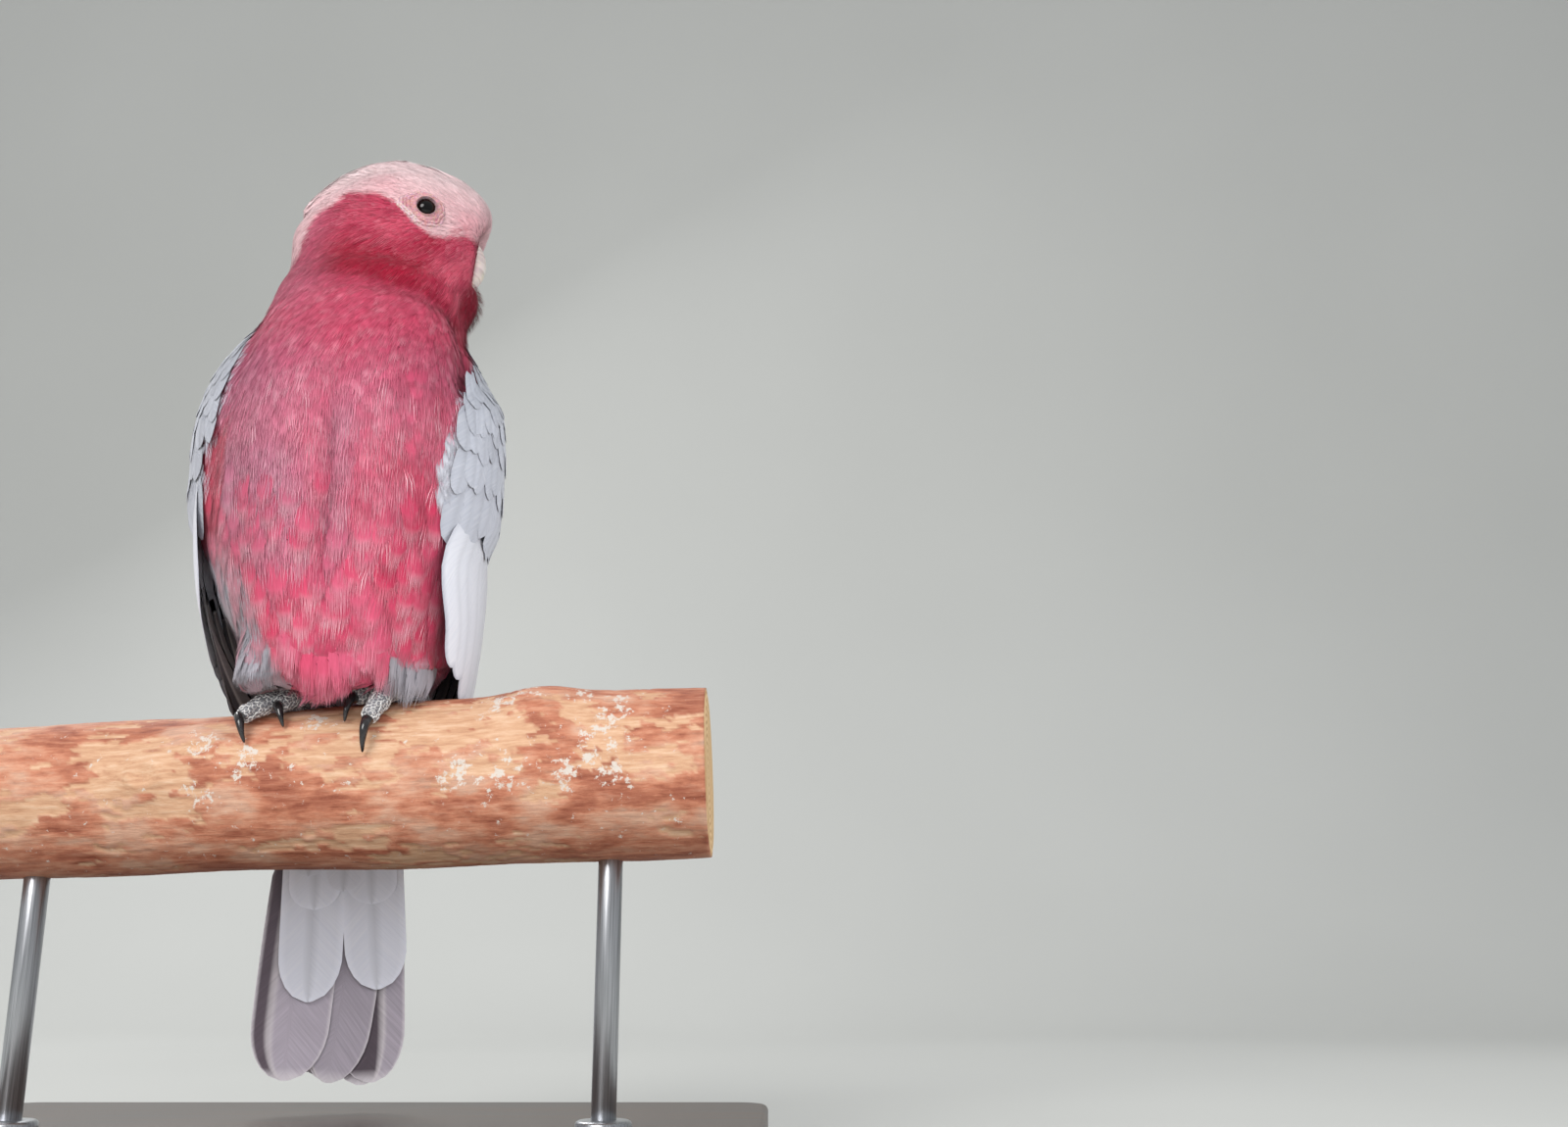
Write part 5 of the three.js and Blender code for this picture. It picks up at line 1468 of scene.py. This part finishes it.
def closed_quads(rows, sides):
    """The same with the first and the last ring closed."""
    ring = np.arange(sides)
    return grid_quads(rows, sides) + [ring[::-1].tolist(), (ring + (rows - 1) * sides).tolist()]


def solid_mesh(name, points, faces):
    """A closed mesh with every face turned outwards."""
    mesh = plain_mesh(name, points, faces)
    body = bmesh.new()
    body.from_mesh(mesh)
    bmesh.ops.recalc_face_normals(body, faces=body.faces)
    body.to_mesh(mesh)
    body.free()
    return mesh


def horn_mesh(name, centre, sweep, start, end, root, tip, groove):
    """A curved horn round a centre, from one angle to another, with its half width and depth at the root."""
    rings, sides = 36, 28
    points, grown = [], []
    for i in range(rings + 1):
        share = i / rings
        angle = math.radians(start + (end - start) * share)
        narrow = (1 - share**1.6) ** 0.8 if share < 1 else 0
        half, deep = (tip + (r - tip) * narrow for r in root)
        if share > 0.9:
            half, deep = (v * math.sqrt(max(0.02, 1 - ((share - 0.9) / 0.1) ** 2)) for v in (half, deep))
        out = np.array([0, -math.cos(angle), math.sin(angle)])
        middle = np.array([0, *centre]) + out * (sweep - deep)
        for j in range(sides):
            turn = 2 * math.pi * j / sides
            back = math.atan2(math.sin(turn), math.cos(turn))
            ridge = 0.06 * math.exp(-((back / 0.35) ** 2))
            hollow = groove * math.exp(-(((abs(back) - 1.9) / 0.5) ** 2))
            p = middle + out * deep * (math.cos(turn) + ridge)
            points.append(p + np.array([half * math.sin(turn) * (1 - hollow), 0, 0]))
            grown.append((share, turn / 6.3))
    mesh = solid_mesh(name, to_world(from_head(points)), closed_quads(rings + 1, sides))
    uv = mesh.uv_layers.new(name="growth")
    for loop in mesh.loops:
        uv.data[loop.index].uv = grown[loop.vertex_index]
    return mesh


for word, form in (
    ("upper", ((-21.7, -5.0), 12.2, 66, -72, (9, 6), 0.7, 0.12)),
    ("lower", ((-19, -7), 11.9, -112, -44, (6.6, 3.2), 1.5, 0.0)),
):
    fitted("bill_%s_half" % word, horn_mesh("bill_" + word, *form), bill_finish, "bill_horn", "bill_" + word)


# ---- Perch ---------------------------------------------------------------------------------------------
# A sawn length of smooth-barked branch, red-brown and grained along its length, with flakes of bark worn
# off to the cream wood, two old knots and a few chalky spots. Its cut ends show the growth rings.
LOG = Matrix.Translation((0, -14, 122.3)) @ Matrix.Rotation(math.radians(-2.4), 4, "Y")
LOG_TURN, LOG_PLACE = np.array(LOG.to_3x3()), np.array(LOG.to_translation())
LOG_RADIUS, HALF_LENGTH = 26.5, 126
# each knot: place along, place round in degrees, height, and reach along and round
KNOTS = [(-52, 82, 2.6, 9, 0.3), (-34, 66, 2.2, 15, 0.42), (72, 24, 3.4, 14, 0.5)]
# the chalky spots: place along, place round in degrees, and size
CHALKY_SPOTS = [
    (-33, 98, 6), (-34, 60, 6), (-20, 72, 7), (66, 18, 9), (60, 34, 7), (86, 26, 6), (94, 62, 8), (95, 86, 9),
    (82, 92, 6), (48, 88, 6), (62, 92, 7), (0, 40, 6), (100, 40, 6),
]


def log_to_world(points):
    return (np.asarray(points) @ LOG_TURN.T + LOG_PLACE) / 1000


def round_from(angle, degrees):
    """How far round from a place, the shorter way, in radians."""
    off = angle - math.radians(degrees)
    return np.arctan2(np.sin(off), np.cos(off))


def log_radius(x, angle):
    bends = 0.5 * np.sin(x / 31) + 0.4 * np.sin(3 * angle + x / 60)
    knots = 0
    for kx, ka, height, reach, wide in KNOTS:
        knots = knots + height * hump((x - kx) / reach, round_from(angle, ka) / wide)
    return LOG_RADIUS + 0.015 * x + bends + 0.35 * np.sin(x / 14 + 2 * angle) + knots


def on_log(x, angle, out=0.0):
    x, angle, out = np.broadcast_arrays(*(np.asarray(v, float) for v in (x, angle, out)))
    r = log_radius(x, angle) + out
    return np.stack([x, -r * np.sin(angle), r * np.cos(angle)], -1)


x, angle = np.meshgrid(
    np.linspace(-HALF_LENGTH, HALF_LENGTH, 253), np.linspace(0, 2 * np.pi, 193)[:-1], indexing="ij"
)
surface = on_log(x, angle)
flat = surface.reshape(-1, 3)
stretched = flat * (0.4, 1, 1)
worn = mottle(stretched, 4.2, 3) * 0.42 + mottle(stretched, 1.5, 4) * 0.34
worn = worn + mottle(flat * (0.5, 1, 1), 9.0, 6) * 0.5
band = hump((angle.ravel() - 1.25) / 0.75) * 0.16
peeled = smooth(worn + band + 0.10 * (mottle(flat * (0.7, 1, 1), 0.6, 12) - 0.5), 0.79, 0.835)
rough = mottle(stretched, 1.0, 7) - 0.5
grooves = mottle(flat * (0.08, 1, 1), 1.1, 8) - 0.5
drop = -0.45 * peeled + 0.16 * rough * (1 - peeled) + 0.22 * grooves
for kx, ka, height, reach, wide in KNOTS[:2]:
    turn = round_from(angle, ka).ravel() * 26
    away = np.hypot((x.ravel() - kx) / 1.2, turn)
    drop += 0.5 * hump((away - 4.2) / 0.9) - 1.3 * hump(away / 2.8)
drop = drop * np.minimum(1, (HALF_LENGTH - np.abs(x.ravel())) / 2)
surface = on_log(x, angle, drop.reshape(x.shape)).reshape(-1, 3)
rows, sides = x.shape
faces = grid_quads(rows, sides)
points = [surface]
chalky = 0
for cx, ca, reach in CHALKY_SPOTS:
    across_mm = round_from(angle, ca).ravel() * 26
    chalky = np.maximum(chalky, hump((x.ravel() - cx) / reach, across_mm / reach))
flags = [np.stack([peeled, chalky, 0 * worn], 1)]  # worn to the wood, chalky, sawn
start = len(surface)
bevels = ((126.0, -0.9), (126.3, -2.2), (126.0, -8.0), (126.0, -16.0))
for end in (-1, 1):
    ring = 0 if end < 0 else (rows - 1) * sides
    before = [ring + j for j in range(sides)]
    for where, inset in bevels:
        points.append(on_log(np.full(sides, end * (where if inset > -3 else 125.9)), angle[0], inset))
        flags.append(np.tile([0.0, 0.0, 1.0], (sides, 1)))
        now = [start + j for j in range(sides)]
        start += sides
        faces += [(before[j], before[(j + 1) % sides], now[(j + 1) % sides], now[j]) for j in range(sides)]
        before = now
    points.append(np.array([[end * 125.9, 0, 0]]))
    flags.append(np.array([[0.0, 0.0, 1.0]]))
    faces += [(before[j], before[(j + 1) % sides], start) for j in range(sides)]
    start += 1
mesh = solid_mesh("perch", log_to_world(np.vstack(points)), faces)
dyed(mesh, "bark", np.vstack(flags))
grain_place = mesh.attributes.new("grain", "FLOAT_VECTOR", "POINT")
grain_place.data.foreach_set("vector", (np.vstack(points) / 10).astype(np.float32).ravel())

bark = Finish("bark", 0.7, Specular_IOR_Level=0.3)
flags_in = bark.add("SeparateColor", {"Color": bark.attribute("bark")})
grain = bark.attribute("grain").outputs["Vector"]
long_grain = bark.noise(bark.stretched(grain, (0.6, 4.0, 4.0)), 1.5, 8.0, 0.68)
patches = bark.noise(bark.stretched(grain, (0.5, 1.0, 1.0)), 0.9, 6.0, 0.6)
chalk = bark.noise(grain, 3.2, 7.0, 0.75)
brown = bark.ramp(
    long_grain, (0.34, 92, 54, 42), (0.43, 152, 98, 78), (0.54, 188, 130, 104), (0.68, 214, 168, 142)
)
redder = bark.ramp(
    patches, (0.40, 146, 76, 54), (0.47, 182, 112, 84), (0.53, 198, 140, 112), (0.62, 208, 172, 148)
)
wood = bark.ramp(long_grain, (0.3, 176, 130, 100), (0.5, 200, 158, 126), (0.7, 216, 184, 156))
bared = bark.mix(flags_in.outputs["Red"], bark.mix(0.58, brown, redder), wood)
near_chalk = bark.sum("MULTIPLY_ADD", flags_in.outputs["Green"], 0.13, chalk)
chalk_share = bark.add("MapRange", {"Value": near_chalk, "From Min": 0.625, "From Max": 0.66})
chalked = bark.mix(chalk_share, bared, (*linear(204, 194, 184), 1))

# growth rings on the sawn ends, a little uneven
split = bark.add("SeparateXYZ", {"Vector": grain})
across = bark.add("CombineXYZ", {"Y": split.outputs["Y"], "Z": split.outputs["Z"]})
reach = bark.add("VectorMath", {0: across}, operation="LENGTH").outputs["Value"]
ringed = bark.sum("ADD", reach, bark.sum("MULTIPLY", patches, 0.35))
wave = bark.sum("SINE", bark.sum("MULTIPLY", ringed, 26.0))
ring_share = bark.add("MapRange", {"Value": wave, "From Min": -1.0})
ring_tone = bark.ramp(ring_share, (0.0, 188, 142, 96), (0.6, 226, 190, 142), (1.0, 232, 200, 154))
bark.color(bark.mix(flags_in.outputs["Blue"], chalked, ring_tone))
bark.rough(long_grain, 0.55, 0.8)
bark.bump(long_grain, 0.5, 0.0008)
fitted("perch_log", mesh, bark, "branch", "perch")


# ---- Feet ----------------------------------------------------------------------------------------------
# Two toes forward and two back grip the perch. They are grey-black and cobbled all over with small horny
# scales whose edges are chalky, and each ends in a hooked, glossy black claw.

# for each foot its place along the perch, and for each toe how far along and round its tip lies, in mm and
# degrees, and then how far on its claw reaches
FEET = {
    "right": (-8, {
        "inner_front": ((-5, 33), (3.5, 17)), "outer_front": ((-15.5, 45), (3, 18)),
        "outer_back": ((-11, -50), (-1, -20)), "inner_back": ((5, -34), (1, -18)),
    }),
    "left": (25, {
        "inner_front": ((-13.5, 29), (-1.5, 19)), "outer_front": ((-6.5, 53), (-1, 20)),
        "outer_back": ((4, -46), (1, -20)), "inner_back": ((-6, -34), (-1, -18)),
    }),
}
foot_finish = Finish("scaly_skin", 0.62, Specular_IOR_Level=0.35)
dirt = foot_finish.noise(foot_finish.place(), 420.0, 5.0, 0.6)
shift = foot_finish.sum("ADD", foot_finish.attribute("rim").outputs["Fac"], dirt)
foot_finish.color(foot_finish.ramp(shift, (0.45, 104, 104, 109), (0.85, 158, 157, 160), (1.2, 224, 222, 219)))
foot_finish.bump(dirt, 0.4, 0.0003)


def tube(points, radii, sides):
    """Points and faces of closed rings round a path."""
    points = np.asarray(points, float)
    ahead = unit(np.gradient(points, axis=0))
    up = np.zeros_like(points)
    up[0] = unit(np.cross(ahead[0], (1, 0.2, 0.1)))
    for i in range(1, len(points)):
        up[i] = unit(up[i - 1] - ahead[i] * np.dot(up[i - 1], ahead[i]))
    side = np.cross(ahead, up)
    turn = np.linspace(0, 2 * np.pi, sides + 1)[:-1]
    round_it = up[:, None] * np.cos(turn)[None, :, None] + side[:, None] * np.sin(turn)[None, :, None]
    rings = points[:, None] + np.asarray(radii)[:, None, None] * round_it
    return log_to_world(rings.reshape(-1, 3)), closed_quads(len(points), sides)


def scale_tree():
    """Geometry nodes: cobbles a surface with small domed scales, joined to it as plain mesh."""
    tree = bpy.data.node_groups.new("scales", "GeometryNodeTree")
    tree.interface.new_socket("Geometry", in_out="OUTPUT", socket_type="NodeSocketGeometry")
    for name, kind in (
        ("Geometry", "Geometry"), ("Scale Spacing", "Float"), ("Scale Size", "Float"), ("Seed", "Int"),
        ("Finish", "Material"),
    ):
        tree.interface.new_socket(name, in_out="INPUT", socket_type="NodeSocket" + kind)

    def step(kind, inputs=(), **settings):
        node = tree.nodes.new(kind)
        for key, value in settings.items():
            setattr(node, key, value)
        for key, value in dict(inputs).items():
            if isinstance(value, bpy.types.NodeSocket):
                tree.links.new(value, node.inputs[key])
            else:
                node.inputs[key].default_value = value
        return node.outputs

    given = step("NodeGroupInput")
    skin, size = given["Geometry"], given["Scale Size"]
    spacing = {
        "Mesh": skin, "Distance Min": given["Scale Spacing"], "Density Max": 2.0e6, "Seed": given["Seed"]
    }
    spread = step("GeometryNodeDistributePointsOnFaces", spacing, distribute_method="POISSON")
    dome = step("GeometryNodeMeshIcoSphere", {"Radius": size, "Subdivisions": 2})
    place = step("ShaderNodeSeparateXYZ", {0: step("GeometryNodeInputPosition")[0]})
    ratio = step("ShaderNodeMath", {0: place["Z"], 1: size}, operation="DIVIDE")
    edge = step("ShaderNodeMath", {0: 0.95, 1: ratio[0]}, operation="SUBTRACT")
    rimmed = step(
        "GeometryNodeStoreNamedAttribute", {"Geometry": dome["Mesh"], "Name": "rim", "Value": edge[0]}
    )
    flat = step("GeometryNodeTransform", {"Geometry": rimmed[0], "Scale": (1, 1, 0.42)})
    grown = step("FunctionNodeRandomValue", {2: 0.75, 3: 1.2})
    each = {"Points": spread["Points"], "Instance": flat[0], "Rotation": spread["Rotation"], "Scale": grown[1]}
    real = step("GeometryNodeRealizeInstances", {0: step("GeometryNodeInstanceOnPoints", each)[0]})
    join = tree.nodes.new("GeometryNodeJoinGeometry")
    for part in (skin, real[0]):
        tree.links.new(part, join.inputs[0])
    rounded = step("GeometryNodeSetShadeSmooth", {0: join.outputs[0]})
    done = step("GeometryNodeSetMaterial", {"Geometry": rounded[0], "Material": given["Finish"]})
    step("NodeGroupOutput", {0: done[0]})
    return tree


scales = scale_tree()


def scaled(name, path, radii, sides, spacing, size, seed, node):
    base = placed(name + "_base", solid_mesh(name, *tube(path, radii, sides)), foot_finish)
    base.data.shade_flat()
    grow = base.modifiers.new("scales", "NODES")
    grow.node_group = scales
    ids = {item.name: item.identifier for item in scales.interface.items_tree if item.in_out == "INPUT"}
    values = {"Scale Spacing": spacing, "Scale Size": size, "Seed": seed, "Finish": foot_finish.material}
    for key, value in values.items():
        grow[ids[key]] = value
    mesh = bpy.data.meshes.new_from_object(base.evaluated_get(bpy.context.evaluated_depsgraph_get()))
    bpy.data.objects.remove(base)
    mesh.name = name
    mesh.materials.clear()
    fitted(name, mesh, foot_finish, "foot_skin", node)


claw_finish = Finish("claw_horn", 0.22, Coat_Weight=0.4, Coat_Roughness=0.12)
striae = claw_finish.noise(claw_finish.place(), 380.0, 4.0)
claw_finish.color(claw_finish.ramp(striae, (0.3, 20, 19, 20), (0.6, 38, 36, 37), (0.8, 66, 62, 62)))
claw_finish.bump(striae, 0.2, 0.0002)

number = 0
for word, (foot_x, toes) in FEET.items():
    for toe, (end, claw) in toes.items():
        number += 1
        which = word + "_" + toe
        v = np.linspace(0.06, 1.0, 44)
        rise = mix(3.7, 3.1, v) + 0.8 + 0.4 * np.sin(np.pi * v)
        path = on_log(foot_x + end[0] * v, np.radians(end[1] * v**0.85), rise)
        radii = mix(3.45, 2.85, v) + 0.28 * np.cos(v * 6 * np.pi) + 0.08 * np.abs(np.sin(v * 15 * np.pi))
        radii[-6:] *= np.array([0.99, 0.96, 0.9, 0.8, 0.64, 0.4])
        scaled("toe_%s_scaly" % which, path, radii, 20, 0.00105, 0.00078, number, "toe_" + which)
        v = np.linspace(0, 1, 26)
        lift = np.interp(v, [0, 0.16, 0.4, 0.75, 1.0], [3.9, 4.6, 4.9, 3.4, 0.9])
        lift = np.convolve(np.pad(lift, 2, mode="edge"), np.ones(5) / 5, "valid")
        path = on_log(foot_x + end[0] + claw[0] * v, np.radians(end[1] + claw[1] * v * 1.02), lift)
        radii = 0.25 + 1.75 * (1 - v) ** 0.75
        radii[-1] = 0.1
        mesh = solid_mesh("claw", *tube(path, radii, 14))
        fitted("claw_%s_horn" % which, mesh, claw_finish, "claw", "claw_" + which)
    low = on_log(foot_x, math.radians(2), 5.4)
    high = low + (-0.12 * foot_x, 7, 24)
    v = np.linspace(-0.14, 1, 30)
    path = low + (high - low) * v[:, None]
    radii = 4.0 + 1.2 * hump((v - 0.05) / 0.22) - 0.5 * np.sin(np.pi * np.clip(v, 0, 1))
    radii[:4] *= np.array([0.45, 0.72, 0.87, 0.96])
    scaled("foot_%s_scaly" % word, path, radii, 22, 0.0013, 0.00095, 40 + number, "foot_" + word)


# ---- Display stand -------------------------------------------------------------------------------------
# A flat dark-stained hardwood base with eased edges, and two brushed steel rods that run up through low
# collars into sockets in the underside of the perch.
def rounded_plate(length, depth, thickness, corner, ease, steps=10):
    """Points and faces of a plate with round corners and eased edges."""
    points, wide = [], ease * 1.6
    profile = [(ease, 0), (0.3, ease * 0.4), (0, ease), (0, thickness - wide)]
    for a in np.linspace(0.2, math.pi / 2, 6):
        profile.append((wide * (1 - math.cos(a)), thickness - wide * (1 - math.sin(a))))
    for inset, z in profile:
        for cx, cy, start in ((1, 1, 0), (-1, 1, 90), (-1, -1, 180), (1, -1, 270)):
            for k in range(steps + 1):
                a = math.radians(start + 90 * k / steps)
                r = corner - inset
                x, y = cx * (length / 2 - corner) + r * math.cos(a), cy * (depth / 2 - corner) + r * math.sin(a)
                points.append((x, y, z))
    return np.array(points), closed_quads(len(profile), 4 * (steps + 1))


board_finish = Finish("stained_wood", 0.42, Coat_Weight=0.25, Coat_Roughness=0.25)
lengthwise = board_finish.stretched(board_finish.place(), (6.0, 90.0, 90.0))
grain = board_finish.noise(lengthwise, 2.2, 8.0, 0.62, Distortion=0.4)
board_finish.color(board_finish.ramp(grain, (0.3, 34, 24, 19), (0.5, 64, 45, 35), (0.72, 88, 64, 49)))
board_finish.rough(grain, 0.36, 0.5)
board_finish.bump(grain, 0.15, 0.0005)
points, faces = rounded_plate(290, 196, 14, 12, 1.4)
mesh = plain_mesh("stand_base_board", points / 1000, faces)
mesh.polygons.foreach_set("use_smooth", [len(f) == 4 for f in faces])
fitted("stand_base_board", mesh, board_finish, "base_wood", "stand_base")

steel = Finish("brushed_steel", 0.32, Metallic=1.0)
brushed = steel.noise(steel.stretched(steel.place(), (3000.0, 3000.0, 40.0)), 1.0, 3.0)
steel.color(steel.ramp(brushed, (0.3, 150, 152, 156), (0.7, 200, 202, 206)))
steel.rough(brushed, 0.24, 0.42)
steel.bump(brushed, 0.08, 0.0001)


def turned(node, x, profile):
    """A part turned on the lathe: (radius, height) pairs from its foot up, closed at both ends."""
    name, sides = node + "_turned", 48
    points = []
    for r, z in profile:
        points += [
            (x + r * math.cos(a), -14 + r * math.sin(a), z) for a in np.linspace(0, 2 * np.pi, sides + 1)[:-1]
        ]
    faces = closed_quads(len(profile), sides)
    mesh = plain_mesh(name, np.array(points) / 1000, faces)
    mesh.polygons.foreach_set("use_smooth", [len(f) == 4 for f in faces])
    piece = fitted(name, mesh, steel, "rod_steel", node)
    piece.modifiers.new("edges", "EDGE_SPLIT").split_angle = math.radians(40)


COLLAR = [(8.8, 14.3), (9, 14.6), (9, 17.2), (8.6, 17.8), (7.9, 18.15), (6.2, 18.25), (5.0, 18.3)]
for side, word in ((1, "left"), (-1, "right")):
    rod_lo, rod_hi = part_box("stand_rod_" + word)
    foot, head = rod_lo[2] * 1000, rod_hi[2] * 1000
    turned("stand_rod_" + word, 94 * side, [(3.8, foot), (4, foot + 0.3), (4, head - 0.3), (3.8, head)])
    turned("stand_collar_" + word, 94 * side, COLLAR)
